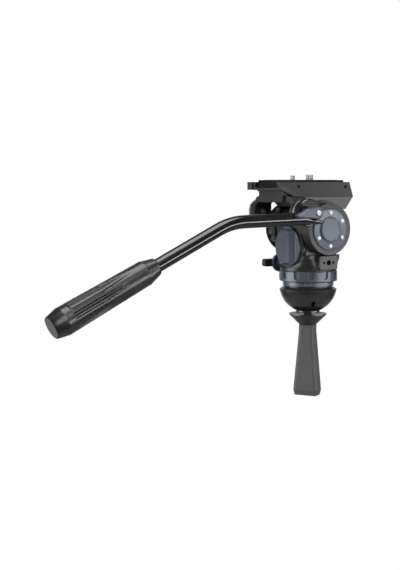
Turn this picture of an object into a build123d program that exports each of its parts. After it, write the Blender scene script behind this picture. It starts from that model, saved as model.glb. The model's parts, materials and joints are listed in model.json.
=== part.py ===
from build123d import *
import os
from math import asin, cos, pi, radians, sin, sqrt

# Fluid video head with a 75 mm half ball, pan and tilt drag, and one pan bar.
# The origin is the centre of the ball's sphere, on the pan axis. +Z is up,
# +Y is where the lens looks and +X is the operator's right. Millimetres.

os.makedirs("parts", exist_ok=True)

# Fits, used all over the head
fit_play = 0.05
thread_play = 0.05
running_gap = 0.3
body_gap = 0.5
screw_play = 0.1
cut_over = 1.0

# Half ball
bowl_diameter = 75.0
ball_rim_below = 6.2
ball_lip_height = 2.6
ball_lip_width = 3.5
ball_wall = 8.0
ball_floor_below = 22.0
neck_radius = 15.3
neck_end_below = 37.0
neck_chamfer = 0.8
window_count = 4
window_turn = -23.0
window_below = 25.0
window_wide_radius = 2.9
window_narrow_radius = 1.5
window_reach = 6.5

# Fixed base of the pan unit
base_radius = 31.0
base_thickness = 1.9
spigot_radius = 28.0
spigot_depth = 4.0
scale_ring_radius = 33.0
scale_ring_height = 5.9
scale_ring_chamfer = 0.5
hub_radius = 26.7
spindle_radius = 8.0
spindle_foot_radius = 18.0
spindle_foot_height = 4.0
spindle_body_radius = 10.0
spindle_thread_radius = 7.0
spindle_tip = 0.9
foot_bolt_count = 4
foot_bolt_circle = 14.0
foot_bolt_radius = 2.0
foot_bolt_depth = 8.0
foot_bolt_head_radius = 3.5
foot_bolt_head_height = 4.0
hex_key_share = 0.55
brake_drum_radius = 20.0
brake_drum_bore = 15.2
brake_drum_height = 13.4

# Pan drag ring
drag_ring_radius = 37.4
drag_ring_height = 13.7
drag_ring_chamfer = 0.8
drag_notch_count = 12
drag_notch_width = 7.0
drag_notch_depth = 2.2
drag_notch_drop = 10.3

# Tie-down clamp
stud_radius = 5.0
stud_engagement = 12.0
stud_end_below = 80.0
washer_headroom = 0.7
washer_radius = 24.4
washer_rim_height = 1.5
washer_dish_depth = 1.8
washer_dish_radius = 16.5
washer_end_radius = 11.0
washer_height = 14.6
handle_neck_width = 20.5
handle_neck_thickness = 17.5
handle_width = 33.5
handle_thickness = 21.0
handle_corner = 4.5
handle_length = 85.5
handle_foot = 6.8
handle_foot_taper = 14.0
handle_neck_straight = 9.0
handle_turn = 32.0
insert_radius = 8.0
insert_flange_radius = 8.6
insert_flange_height = 1.5
insert_length = 17.0
handle_bore_depth = 46.0

# Pan housing
flange_radius = 36.4
flange_height = 4.0
shoulder_rise = 11.8
ledge_rise = 5.0
base_half_width = 33.5
base_half_length = 30.0
base_corner = 11.0
tower_half_width = 29.5
tower_front = 24.0
tower_back = 28.0
tower_drum_radius = 30.0
tilt_bore_radius = 22.0
tower_edge = 2.5
bush_radius = 11.0
bush_flange_radius = 14.0
bush_flange_height = 2.0
nut_across_flats = 20.0
nut_height = 7.0
nut_well_radius = 16.0
groove_inner_radius = 14.8
groove_headroom = 1.0

# Accessory block on the right of the housing
accessory_face = 40.0
accessory_forward = 2.7
accessory_length = 29.0
accessory_rise = 1.8
accessory_corner = 3.5
quarter_inch_radius = 3.175
accessory_hole_depth = 9.0
locating_hole_radius = 1.6
locating_hole_depth = 6.0
locating_hole_offset = 7.3

# Levelling bubble on the front of the housing
bubble_side = -12.0
bubble_forward = 31.5
bubble_boss_radius = 8.6
bubble_cup_radius = 6.6
bubble_cup_wall = 1.1
bubble_depth = 8.0
bubble_boss_drop = 13.0

# Tilt axis and ears
spindle_headroom = 6.0
ear_radius = 32.5
ear_gap = 0.6
right_ear_thickness = 14.9
left_ear_thickness = 5.9
left_hub_radius = 18.0
left_hub_length = 7.0
shaft_radius = 6.0
cover_radius = 26.4
cover_recess = 3.0
cover_proud = 1.8
cover_chamfer = 0.7
cap_radius = 15.3
cap_height = 1.6
cap_step = 1.5
cover_screw_count = 6
cover_screw_circle = 21.0
cover_screw_radius = 1.5
cover_screw_head_radius = 2.65
cover_screw_head_height = 1.0
cover_screw_length = 7.0
bearing_cap_thickness = 5.0

# Tilt drag dial on the left ear
dial_radius = 30.5
dial_width = 12.0
dial_rim_radius = 32.0
dial_rim_thickness = 4.0
dial_flute_count = 16
dial_flute_radius = 4.2
dial_flute_circle = 32.4
dial_rim_chamfer = 1.2

# Parts inside the closed tilt bore
drag_cup_radius = 21.9
drag_cup_wall = 2.5
drag_cup_length = 20.0
rotor_length = 13.0
rotor_play = 0.8
spring_coil_radius = 16.5
spring_wire_radius = 1.6
spring_turns = 4
spring_start = 2.0

# Counterbalance knob at the rear
knob_drop = 23.0
knob_collar_radius = 29.0
knob_collar_depth = 2.5
knob_recess_depth = 3.0
knob_radius = 26.0
knob_disc_thickness = 6.0
knob_edge = 1.2
knob_grip_height = 5.5
knob_grip_base_width = 36.0
knob_grip_base_length = 47.0
knob_grip_top_width = 20.0
knob_grip_top_length = 41.0
knob_grip_corner = 5.0
knob_spindle_radius = 4.0
knob_spindle_depth = 8.5

# Pan and tilt locks on the left of the housing
lock_side_offset = 17.0
lock_rise = 8.4
lock_boss_radius = 7.6
lock_boss_proud = 1.7
lock_hub_radius = 12.0
lock_hub_thickness = 4.0
lock_lever_height = 10.0
lock_lever_thickness = 8.5
lock_lever_reach = 22.0
lock_lever_back = 6.0
lock_lever_edge = 1.5
lock_screw_radius = 3.0
lock_shoe_radius = 5.5
lock_screw_bore = 4.7
cam_offset = 0.35
cam_radius = 4.5
cam_margin = 0.7
brake_shoe_half_length = 7.0
brake_shoe_middle = 13.5
brake_shoe_gap = 0.4

# Tilt cradle
cradle_web = 21.6
cradle_front_top = 44.0
cradle_crease_drop = 18.5
cradle_crease_front = 46.0
cheek_rise = 25.0
cradle_bottom_front = 35.5
cradle_bottom_back = 24.0
cradle_top_half_width = 28.0
cradle_crease_half_width = 33.0
cradle_bottom_half_width = 31.0
cradle_crease_round = 5.0
cradle_back = 67.0
cradle_corner_run = 31.2
belly_depth = 18.2
belly_back = 60.0
belly_rise = 8.0
belly_half_width = 26.0
wall_step_back = 45.0
wall_step_drop = 0.4
back_relief_radius = 38.5
back_relief_start = 13.0
back_relief_half_width = 27.5
ear_collar_rise = 3.5
ear_collar_thickness = 5.0

# Dovetail channel and camera plate
channel_depth = 7.3
channel_half_width = 25.3
channel_side = 2.8
channel_mouth_half_width = 21.8
plate_back = 64.0
plate_length = 103.0
plate_proud = 2.5
plate_edge = 1.5
plate_float = 0.3
pad_inset = 1.0
pad_proud = 0.3
pad_width = 7.5
pad_end = 6.0
pad_offset = 14.6
quarter_screw_back = 26.0
quarter_screw_proud = 5.8
quarter_neck_radius = 2.5
quarter_slot_width = 6.8
quarter_head_radius = 6.0
three_eighths_radius = 4.7625
three_eighths_screw_back = -1.0
three_eighths_screw_proud = 7.0
three_eighths_neck_radius = 3.8
three_eighths_slot_width = 10.0
three_eighths_head_radius = 7.4
slot_travel = 5.0
screw_head_rise = 0.8
screw_head_height = 3.8
retainer_thickness = 1.0
retainer_headroom = 0.2
coin_slot_width = 1.5
coin_slot_depth = 1.5
screw_tip_chamfer = 0.6

# Plate clamp on the left wall
jaw_front = 14.0
jaw_back = 57.0
jaw_outer = 28.0
jaw_drop = 2.9
clamp_pivot_back = 22.0
clamp_hub_radius = 6.5
clamp_cam_offset = 2.0
clamp_pin_radius = 2.5
clamp_pin_head_radius = 4.4
clamp_pin_head_height = 1.4
clamp_arm_end = 68.0
clamp_arm_width = 10.5
clamp_arm_offset = 1.6
clamp_arm_edge = 1.2
shelf_thickness = 5.3
shelf_front = 12.5
shelf_back = 31.0
shelf_side = 43.5

# Safety button and wall screws
button_forward = 12.0
button_rise = 6.0
button_radius = 3.5
button_proud = 3.2
button_depth = 4.0
wall_screw_back = 38.0
wall_screw_front = 36.0
wall_screw_drop = 5.7
wall_screw_radius = 2.5
wall_screw_sink = 1.6
wall_screw_length = 2.4

# Rosettes and the bosses that carry them
rosette_back = 45.5
rosette_rise = 22.0
rosette_diameter = 31.8
rosette_bore = 7.0
rosette_thickness = 2.3
rosette_tooth_count = 36
rosette_tooth_width = 1.15
rosette_tooth_depth = 0.9
right_boss_start = 39.0
right_boss_length = 11.0
left_boss_start = 38.0
left_boss_length = 7.0
boss_taper = 2.6
boss_taper_length = 4.0
boss_arm_root = 2.0
boss_arm_back = 10.5
boss_arm_overlap = 1.0
boss_arm_knee = 5.0
boss_arm_knee_drop = 1.3
boss_arm_end_rise = 8.0
boss_arm_drop = 3.0
boss_recess_radius = 12.2
boss_recess_depth = 1.5
rosette_thread_radius = 3.0
blank_screw_head_radius = 3.2
blank_screw_head_height = 1.2
blank_screw_radius = 1.5
blank_screw_depth = 1.3
left_thread_depth = 5.0

# Pan bar
eye_radius = 17.0
eye_hub_length = 3.65
eye_thickness = 8.0
eye_hub_radius = 13.6
eye_edge = 1.0
bar_side = 2.0
bar_start_run = 12.5
bar_start_drop = 7.0
bar_upper_run = 104.0
bar_upper_drop = 2.8
bar_bend_radius = 88.0
bar_slope = 25.6
bar_diameter = 16.0
bar_wall = 1.5
bar_plug_length = 24.0
bar_nose_run = 12.5
bar_nose_drop = 11.4
bar_nose_side = 4.5
bar_nose_width = 8.0
bar_nose_depth = 5.0
spot_radius = 9.6
clamp_bolt_radius = 3.0

# Grip, measured along the bar from its front edge
bar_lower_run = 100.0
grip_length = 142.6
grip_front_radius = 10.6
grip_shoulder = 16.5
grip_shoulder_radius = 14.7
grip_rear_shoulder = 127.0
grip_rear_radius = 16.7
grip_end_radius = 13.4
grip_flute_count = 6
grip_flute_start = 22.0
grip_flute_end = 118.0
grip_flute_radius = 7.5
grip_flute_depth = 1.6
grip_groove_count = 3
grip_groove_pitch = 9.0
grip_groove_width = 1.3
grip_groove_depth = 0.9
grip_cap_radius = 11.9
grip_cap_thickness = 2.4
grip_cap_proud = 0.4
bar_in_grip = 112.0

# Pan bar clamp lever
lever_hub_radius = 7.2
lever_hub_length = 11.0
lever_thickness = 7.0
lever_straight = 12.0
lever_reach = 29.0
lever_tip_radius = 1.6
lever_drop = 3.5
lever_edge = 1.2
lever_screw_head_radius = 3.6
lever_screw_proud = 2.0
lever_recess_radius = 5.0
lever_recess_depth = 1.2
hub_spacer_gap = 0.2


# Heights, stacked upwards from the ball's centre, and depths below it
washer_rim_below = bowl_diameter / 2 + washer_headroom
washer_end_below = washer_rim_below + washer_height
ball_lip_below = ball_rim_below - ball_lip_height
base_top = base_thickness - ball_lip_below
scale_ring_top = base_top + scale_ring_height
drag_ring_top = scale_ring_top + drag_ring_height
hub_top = drag_ring_top - running_gap
housing_bottom = drag_ring_top + running_gap
brake_drum_top = hub_top + brake_drum_height
groove_top = brake_drum_top + groove_headroom
flange_top = housing_bottom + flange_height
shoulder_height = flange_top + shoulder_rise
ledge_height = shoulder_height + ledge_rise
accessory_bottom = housing_bottom + accessory_rise
bush_top = shoulder_height
nut_bottom = bush_top + bush_flange_height + screw_play
spindle_top = nut_bottom + nut_height + spindle_tip
lock_height = hub_top + lock_rise
tilt_height = spindle_top + spindle_headroom + tilt_bore_radius
knob_height = tilt_height - knob_drop
rosette_height = tilt_height + rosette_rise
cradle_bottom = tilt_height + cheek_rise
channel_floor = tilt_height + tower_drum_radius + ear_gap + cradle_web
channel_lip = channel_floor + channel_side
cradle_top = channel_floor + channel_depth
cradle_crease_height = cradle_top - cradle_crease_drop
belly_under = channel_floor - belly_depth
jaw_floor = channel_floor - jaw_drop
cradle_back_under = jaw_floor
wall_step_height = channel_floor - wall_step_drop
button_height = cradle_crease_height + button_rise
wall_screw_height = cradle_top - wall_screw_drop
boss_arm_top = cradle_crease_height + boss_arm_overlap
boss_arm_knee_height = cradle_crease_height - boss_arm_knee_drop
boss_arm_end_top = rosette_height + boss_arm_end_rise
boss_arm_foot = belly_under - boss_arm_drop
plate_top = cradle_top + plate_proud
screw_head_bottom = channel_floor + screw_head_rise
screw_head_top = screw_head_bottom + screw_head_height
washer_top = screw_head_top + retainer_thickness
counterbore_top = washer_top + retainer_headroom

# Places outwards from the pan axis, to the right and to the left
ear_inner = tower_half_width + ear_gap
right_ear_face = ear_inner + right_ear_thickness
left_ear_face = ear_inner + left_ear_thickness
dial_face = left_ear_face + dial_width
dial_rim_face = dial_face + dial_rim_thickness
cam_start = left_ear_face - cam_margin
cam_end = ear_inner + cam_margin
lock_boss_face = left_ear_face + lock_boss_proud
lock_shoe_start = lock_boss_face - lock_screw_bore
right_boss_face = right_boss_start + right_boss_length
left_boss_face = left_boss_start + left_boss_length
toothed_face = right_boss_face + rosette_thickness + fit_play
eye_start = toothed_face + eye_hub_length
eye_face = eye_start + eye_thickness
bar_line = eye_face + bar_side
lever_start = eye_face + lever_hub_length
lever_face = lever_start + lever_thickness

# Places backwards from the pan axis, along the pan bar
bar_nose_back = rosette_back - bar_nose_run
bar_nose_height = rosette_height - bar_nose_drop
bar_nose_x = eye_face + bar_nose_side
bar_start_back = rosette_back + bar_start_run
bar_start_height = rosette_height - bar_start_drop
bar_bend_back = bar_start_back + bar_upper_run
bar_bend_height = bar_start_height - bar_upper_drop
grip_start_back = bar_bend_back + bar_lower_run


# Planes and small helpers

def facing_right(x):
    """Plane at x that faces +X; it is drawn on as (y, z)."""
    return Plane.YZ.offset(x)


def facing_back(y):
    """Plane at y that faces -Y; it is drawn on as (x, z)."""
    return Plane.XZ.offset(-y)


def level(z):
    """Plane at height z that faces up; it is drawn on as (x, y)."""
    return Plane.XY.offset(z)


def polar(radius, degrees):
    return (radius * cos(radians(degrees)), radius * sin(radians(degrees)))


# Half ball: a cast shell with four teardrop windows, a thick floor for the
# spindle's foot and a short neck round the stud

ball_radius = bowl_diameter / 2
ball_rim_radius = sqrt(ball_radius**2 - ball_rim_below**2)
neck_start_below = sqrt(ball_radius**2 - neck_radius**2)
cavity_radius = ball_radius - ball_wall
cavity_top_radius = sqrt(cavity_radius**2 - ball_lip_below**2)
cavity_floor_radius = sqrt(cavity_radius**2 - ball_floor_below**2)
stud_bore = stud_radius + screw_play


def on_sphere(radius, z_start, z_end):
    """A point halfway along the arc between two heights of a sphere."""
    middle = (asin(z_start / radius) + asin(z_end / radius)) / 2
    return (radius * cos(middle), radius * sin(middle))


with BuildPart() as half_ball:
    with BuildSketch(Plane.XZ):
        with BuildLine():
            Polyline(
                (cavity_floor_radius, -ball_floor_below),
                (stud_bore, -ball_floor_below),
                (stud_bore, -neck_end_below),
                (neck_radius - neck_chamfer, -neck_end_below),
                (neck_radius, neck_chamfer - neck_end_below),
                (neck_radius, -neck_start_below),
            )
            ThreePointArc(
                (neck_radius, -neck_start_below),
                on_sphere(ball_radius, -neck_start_below, -ball_rim_below),
                (ball_rim_radius, -ball_rim_below),
            )
            Polyline(
                (ball_rim_radius, -ball_rim_below),
                (ball_rim_radius - ball_lip_width, -ball_lip_below),
                (cavity_top_radius, -ball_lip_below),
            )
            ThreePointArc(
                (cavity_top_radius, -ball_lip_below),
                on_sphere(cavity_radius, -ball_lip_below, -ball_floor_below),
                (cavity_floor_radius, -ball_floor_below),
            )
        make_face()
    revolve(axis=Axis.Z)
    # teardrop windows, wide end up, cut square to the ball's surface
    window_slope = asin(window_below / ball_radius)
    for i in range(window_count):
        turn = radians(window_turn + i * 360 / window_count)
        out = (cos(turn) * cos(window_slope), sin(turn) * cos(window_slope), -sin(window_slope))
        middle = Plane(
            origin=tuple(ball_radius * c for c in out),
            x_dir=(-sin(turn), cos(turn), 0),
            z_dir=out,
        )
        with BuildSketch(middle):
            with Locations((0, window_reach / 2)):
                Circle(window_wide_radius)
            with Locations((0, -window_reach / 2)):
                Circle(window_narrow_radius)
            make_hull()
        extrude(amount=-(ball_wall + cut_over), mode=Mode.SUBTRACT)
        with BuildSketch(middle):
            with Locations((0, window_reach / 2)):
                Circle(window_wide_radius)
            with Locations((0, -window_reach / 2)):
                Circle(window_narrow_radius)
            make_hull()
        extrude(amount=cut_over, mode=Mode.SUBTRACT)
    # tapped holes for the foot bolts
    with BuildSketch(level(-ball_floor_below)):
        with PolarLocations(foot_bolt_circle, foot_bolt_count):
            Circle(foot_bolt_radius)
    extrude(amount=-foot_bolt_depth, mode=Mode.SUBTRACT)
half_ball.part.label = "half_ball"
export_step(half_ball.part, "parts/half_ball.step")


# Spindle: a foot bolted to the ball's floor, the shaft that the head turns on,
# and a threaded end for the nut

spigot_below = ball_lip_below + spigot_depth
stud_top = stud_engagement - ball_floor_below

with BuildPart() as pan_spindle:
    with BuildSketch(Plane.XZ):
        with BuildLine():
            Polyline(
                (0, stud_top),
                (stud_radius, stud_top),
                (stud_radius, -ball_floor_below),
                (spindle_foot_radius, -ball_floor_below),
                (spindle_foot_radius, spindle_foot_height - ball_floor_below),
                (spindle_body_radius, spindle_foot_height - ball_floor_below),
                (spindle_body_radius, -spigot_below),
                (spindle_radius, -spigot_below),
                (spindle_radius, bush_top + bush_flange_height),
                (spindle_thread_radius, bush_top + bush_flange_height),
                (spindle_thread_radius, spindle_top),
                (0, spindle_top),
                close=True,
            )
        make_face()
    revolve(axis=Axis.Z)
    with BuildSketch(level(-ball_floor_below)):
        with PolarLocations(foot_bolt_circle, foot_bolt_count):
            Circle(foot_bolt_radius)
    extrude(amount=spindle_foot_height, mode=Mode.SUBTRACT)
pan_spindle.part.label = "pan_spindle"
export_step(pan_spindle.part, "parts/pan_spindle.step")

with BuildPart() as foot_bolts:
    with BuildSketch(level(spindle_foot_height - ball_floor_below)):
        with PolarLocations(foot_bolt_circle, foot_bolt_count):
            Circle(foot_bolt_head_radius)
    extrude(amount=foot_bolt_head_height)
    with BuildSketch(level(-ball_floor_below - foot_bolt_depth)):
        with PolarLocations(foot_bolt_circle, foot_bolt_count):
            Circle(foot_bolt_radius)
    extrude(amount=foot_bolt_depth + spindle_foot_height)
    with BuildSketch(level(spindle_foot_height - ball_floor_below + foot_bolt_head_height)):
        with PolarLocations(foot_bolt_circle, foot_bolt_count):
            RegularPolygon(foot_bolt_head_radius * hex_key_share, 6)
    extrude(amount=-foot_bolt_head_height / 2, mode=Mode.SUBTRACT)
foot_bolts.part.label = "foot_bolts"
export_step(foot_bolts.part, "parts/foot_bolts.step")


# Base disc with its spigot in the ball and its hub inside the rings

with BuildPart() as pan_base:
    with BuildSketch(Plane.XZ):
        with BuildLine():
            Polyline(
                (spindle_radius, -spigot_below),
                (spigot_radius, -spigot_below),
                (spigot_radius, -ball_lip_below),
                (base_radius, -ball_lip_below),
                (base_radius, base_top),
                (hub_radius, base_top),
                (hub_radius, hub_top),
                (spindle_radius, hub_top),
                close=True,
            )
        make_face()
    revolve(axis=Axis.Z)
pan_base.part.label = "pan_base"
export_step(pan_base.part, "parts/pan_base.step")

with BuildPart() as pan_scale_ring:
    with BuildSketch(level(base_top)):
        Circle(scale_ring_radius)
        Circle(hub_radius + fit_play, mode=Mode.SUBTRACT)
    extrude(amount=scale_ring_height)
    outer_rims = pan_scale_ring.edges().filter_by(GeomType.CIRCLE).group_by(lambda e: e.radius)[-1]
    chamfer(outer_rims, scale_ring_chamfer)
pan_scale_ring.part.label = "pan_scale_ring"
export_step(pan_scale_ring.part, "parts/pan_scale_ring.step")

with BuildPart() as pan_brake_drum:
    with BuildSketch(level(hub_top)):
        Circle(brake_drum_radius)
        Circle(brake_drum_bore, mode=Mode.SUBTRACT)
    extrude(amount=brake_drum_top - hub_top)
pan_brake_drum.part.label = "pan_brake_drum"
export_step(pan_brake_drum.part, "parts/pan_brake_drum.step")

with BuildPart() as pan_nut:
    with BuildSketch(level(nut_bottom)):
        RegularPolygon(nut_across_flats / 2, 6, major_radius=False)
        Circle(spindle_thread_radius + fit_play, mode=Mode.SUBTRACT)
    extrude(amount=nut_height)
pan_nut.part.label = "pan_nut"
export_step(pan_nut.part, "parts/pan_nut.step")


# Pan drag ring: U-shaped notches, open at the top

with BuildPart() as pan_drag_ring:
    with BuildSketch(level(scale_ring_top + running_gap)):
        Circle(drag_ring_radius)
        Circle(hub_radius + running_gap, mode=Mode.SUBTRACT)
    extrude(amount=drag_ring_top - scale_ring_top - running_gap)
    ring_rims = pan_drag_ring.edges().filter_by(GeomType.CIRCLE).group_by(lambda e: e.radius)[-1]
    chamfer(ring_rims, drag_ring_chamfer)
    for i in range(drag_notch_count):
        turn = radians(i * 360 / drag_notch_count)
        floor_plane = Plane(
            origin=(
                (drag_ring_radius - drag_notch_depth) * cos(turn),
                (drag_ring_radius - drag_notch_depth) * sin(turn),
                drag_ring_top,
            ),
            x_dir=(-sin(turn), cos(turn), 0),
            z_dir=(cos(turn), sin(turn), 0),
        )
        with BuildSketch(floor_plane):
            with Locations((0, -(drag_notch_drop - drag_notch_width / 2) / 2 + cut_over / 2)):
                Rectangle(drag_notch_width, drag_notch_drop - drag_notch_width / 2 + cut_over)
            with Locations((0, drag_notch_width / 2 - drag_notch_drop)):
                Circle(drag_notch_width / 2)
        extrude(amount=drag_notch_depth + cut_over, mode=Mode.SUBTRACT)
pan_drag_ring.part.label = "pan_drag_ring"
export_step(pan_drag_ring.part, "parts/pan_drag_ring.step")


# Tie-down clamp: stud, cone washer and paddle handle

with BuildPart() as clamp_stud:
    with BuildSketch(level(-stud_end_below)):
        Circle(stud_radius)
    extrude(amount=stud_end_below + stud_top)
    chamfer(clamp_stud.faces().sort_by(Axis.Z)[0].edges(), neck_chamfer)
clamp_stud.part.label = "clamp_stud"
export_step(clamp_stud.part, "parts/clamp_stud.step")

with BuildPart() as clamp_washer:
    with BuildSketch(Plane.XZ):
        with BuildLine():
            Polyline(
                (stud_bore, -(washer_rim_below + washer_dish_depth)),
                (washer_dish_radius, -(washer_rim_below + washer_dish_depth)),
                (washer_radius - washer_rim_height, -washer_rim_below),
                (washer_radius, -washer_rim_below),
                (washer_radius, -(washer_rim_below + washer_rim_height)),
                (washer_end_radius, -washer_end_below),
                (stud_bore, -washer_end_below),
                close=True,
            )
        make_face()
    revolve(axis=Axis.Z)
clamp_washer.part.label = "clamp_washer"
export_step(clamp_washer.part, "parts/clamp_washer.step")

# The paddle starts as a short rounded neck, widens and thickens on the way
# down, and ends in a foot that tapers in again
handle_top = -washer_end_below - running_gap
paddle_x = (cos(radians(handle_turn)), sin(radians(handle_turn)), 0)


def paddle_plane(below_top):
    return Plane(origin=(0, 0, handle_top - below_top), x_dir=paddle_x, z_dir=(0, 0, 1))


with BuildPart() as clamp_handle:
    with BuildSketch(paddle_plane(0)):
        RectangleRounded(handle_neck_width, handle_neck_thickness, handle_corner)
    extrude(amount=-handle_neck_straight)
    with BuildSketch(paddle_plane(handle_neck_straight)):
        RectangleRounded(handle_neck_width, handle_neck_thickness, handle_corner)
    with BuildSketch(paddle_plane(handle_length)):
        RectangleRounded(handle_width, handle_thickness, handle_corner)
    loft(ruled=True)
    with BuildSketch(paddle_plane(handle_length)):
        RectangleRounded(handle_width, handle_thickness, handle_corner)
    extrude(amount=-handle_foot, taper=handle_foot_taper)
    # bore for the threaded insert and the stud's free end
    with BuildSketch(level(handle_top)):
        Circle(insert_flange_radius)
    extrude(amount=-insert_flange_height, mode=Mode.SUBTRACT)
    with BuildSketch(level(handle_top)):
        Circle(insert_radius)
    extrude(amount=-insert_length, mode=Mode.SUBTRACT)
    with BuildSketch(level(handle_top)):
        Circle(stud_radius + body_gap)
    extrude(amount=-handle_bore_depth, mode=Mode.SUBTRACT)
clamp_handle.part.label = "clamp_handle"
export_step(clamp_handle.part, "parts/clamp_handle.step")

with BuildPart() as handle_insert:
    with BuildSketch(level(handle_top)):
        Circle(insert_flange_radius)
    extrude(amount=-insert_flange_height)
    with BuildSketch(level(handle_top)):
        Circle(insert_radius)
    extrude(amount=-insert_length)
    with BuildSketch(level(handle_top)):
        Circle(stud_radius + thread_play)
    extrude(amount=-insert_length, mode=Mode.SUBTRACT)
handle_insert.part.label = "handle_insert"
export_step(handle_insert.part, "parts/handle_insert.step")


# Pan housing: round flange, shoulder, tower between the tilt ears, rear
# collar, accessory block, lock bosses and bubble boss in one casting

tilt_bore_low = tilt_height - tilt_bore_radius
collar_face = tower_back + knob_collar_depth
knob_seat = collar_face - knob_recess_depth
knob_bore_end = knob_seat - knob_spindle_depth - running_gap


def at_lock(side):
    """Centre of a lock on the left of the housing: side -1 rear, +1 front."""
    return (side * lock_side_offset, lock_height)


with BuildPart() as pan_housing:
    with BuildSketch(level(housing_bottom)):
        Circle(flange_radius)
    extrude(amount=flange_height)
    with BuildSketch(level(flange_top)):
        Circle(flange_radius)
    with BuildSketch(level(shoulder_height)):
        RectangleRounded(2 * base_half_width, 2 * base_half_length, base_corner)
    loft()
    with BuildSketch(level(shoulder_height)):
        RectangleRounded(2 * base_half_width, 2 * base_half_length, base_corner)
    extrude(amount=ledge_height - shoulder_height)
    # tower
    with BuildSketch(level(ledge_height)) as tower_plan:
        with Locations((0, (tower_front - tower_back) / 2)):
            Rectangle(2 * tower_half_width, tower_front + tower_back)
        chamfer(tower_plan.vertices(), tower_edge)
    extrude(amount=tilt_height - ledge_height)
    with BuildSketch(facing_right(-tower_half_width)):
        with Locations((0, tilt_height)):
            Circle(tower_drum_radius)
    extrude(amount=2 * tower_half_width)
    # collar round the rear knob
    with BuildSketch(facing_back(-collar_face)):
        with Locations((0, knob_height)):
            Circle(knob_collar_radius)
    extrude(amount=-(knob_collar_depth + tower_edge + cut_over))
    # accessory block
    with BuildSketch(facing_right(0)):
        with Locations((accessory_forward, (accessory_bottom + ledge_height) / 2)):
            RectangleRounded(accessory_length, ledge_height - accessory_bottom, accessory_corner)
    extrude(amount=accessory_face)
    accessory_rim = pan_housing.faces().sort_by(Axis.X)[-1].edges()
    fillet(accessory_rim, accessory_corner / 3)
    # lock bosses
    with BuildSketch(facing_right(-lock_boss_face)):
        with Locations(at_lock(-1), at_lock(1)):
            Circle(lock_boss_radius)
    extrude(amount=lock_boss_face - brake_drum_radius)
    # bubble boss
    with BuildSketch(level(ledge_height - bubble_boss_drop)):
        with Locations((bubble_side, bubble_forward)):
            Circle(bubble_boss_radius)
    extrude(amount=bubble_boss_drop)
    # tilt bore
    with BuildSketch(facing_right(-tower_half_width)):
        with Locations((0, tilt_height)):
            Circle(tilt_bore_radius)
    extrude(amount=2 * tower_half_width, mode=Mode.SUBTRACT)
    # spindle bore, brake groove and nut well
    with BuildSketch(level(housing_bottom)):
        Circle(bush_radius)
    extrude(amount=ledge_height - housing_bottom, mode=Mode.SUBTRACT)
    with BuildSketch(level(housing_bottom)):
        Circle(brake_drum_radius + body_gap)
        Circle(groove_inner_radius, mode=Mode.SUBTRACT)
    extrude(amount=groove_top - housing_bottom, mode=Mode.SUBTRACT)
    with BuildSketch(level(bush_top)):
        Circle(nut_well_radius)
    extrude(amount=tilt_bore_low + cut_over - bush_top, mode=Mode.SUBTRACT)
    # knob recess and its spindle bore
    with BuildSketch(facing_back(-knob_seat)):
        with Locations((0, knob_height)):
            Circle(knob_radius + body_gap)
    extrude(amount=flange_radius - knob_seat + cut_over, mode=Mode.SUBTRACT)
    with BuildSketch(facing_back(-knob_bore_end)):
        with Locations((0, knob_height)):
            Circle(knob_spindle_radius + fit_play)
    extrude(amount=knob_seat - knob_bore_end, mode=Mode.SUBTRACT)
    # accessory thread and its two locating holes
    with BuildSketch(facing_right(accessory_face)):
        with Locations((accessory_forward, (accessory_bottom + ledge_height) / 2)):
            Circle(quarter_inch_radius)
    extrude(amount=-accessory_hole_depth, mode=Mode.SUBTRACT)
    with BuildSketch(facing_right(accessory_face)):
        with Locations((accessory_forward, (accessory_bottom + ledge_height) / 2)):
            with GridLocations(2 * locating_hole_offset, 0, 2, 1):
                Circle(locating_hole_radius)
    extrude(amount=-locating_hole_depth, mode=Mode.SUBTRACT)
    # pan lock: screw bore outside, shoe bore inside, down to the drum
    with BuildSketch(facing_right(-lock_boss_face)):
        with Locations(at_lock(-1)):
            Circle(lock_screw_radius + thread_play)
    extrude(amount=lock_boss_face - lock_shoe_start, mode=Mode.SUBTRACT)
    with BuildSketch(facing_right(-lock_shoe_start)):
        with Locations(at_lock(-1)):
            Circle(lock_shoe_radius + screw_play)
    extrude(amount=lock_shoe_start - groove_inner_radius, mode=Mode.SUBTRACT)
    # tilt lock: cam bore and the pocket of the brake shoe above it
    with BuildSketch(facing_right(-lock_boss_face)):
        with Locations(at_lock(1)):
            Circle(cam_radius + cam_offset + screw_play)
    extrude(amount=lock_boss_face - cam_end + running_gap, mode=Mode.SUBTRACT)
    shoe_mid_x = -(cam_start + cam_end) / 2
    with BuildSketch(level(lock_height)):
        with Locations((shoe_mid_x, brake_shoe_middle)):
            Rectangle(
                cam_start - cam_end + 2 * running_gap,
                2 * (brake_shoe_half_length + running_gap),
            )
    extrude(amount=ledge_height - lock_height + cut_over, mode=Mode.SUBTRACT)
    # pocket for the bubble
    with BuildSketch(level(ledge_height)):
        with Locations((bubble_side, bubble_forward)):
            Circle(bubble_cup_radius)
    extrude(amount=-bubble_depth, mode=Mode.SUBTRACT)
pan_housing.part.label = "pan_housing"
export_step(pan_housing.part, "parts/pan_housing.step")

with BuildPart() as pan_bush:
    with BuildSketch(Plane.XZ):
        with BuildLine():
            Polyline(
                (spindle_radius + fit_play, housing_bottom),
                (bush_radius, housing_bottom),
                (bush_radius, bush_top),
                (bush_flange_radius, bush_top),
                (bush_flange_radius, bush_top + bush_flange_height),
                (spindle_radius + fit_play, bush_top + bush_flange_height),
                close=True,
            )
        make_face()
    revolve(axis=Axis.Z)
pan_bush.part.label = "pan_bush"
export_step(pan_bush.part, "parts/pan_bush.step")

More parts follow.
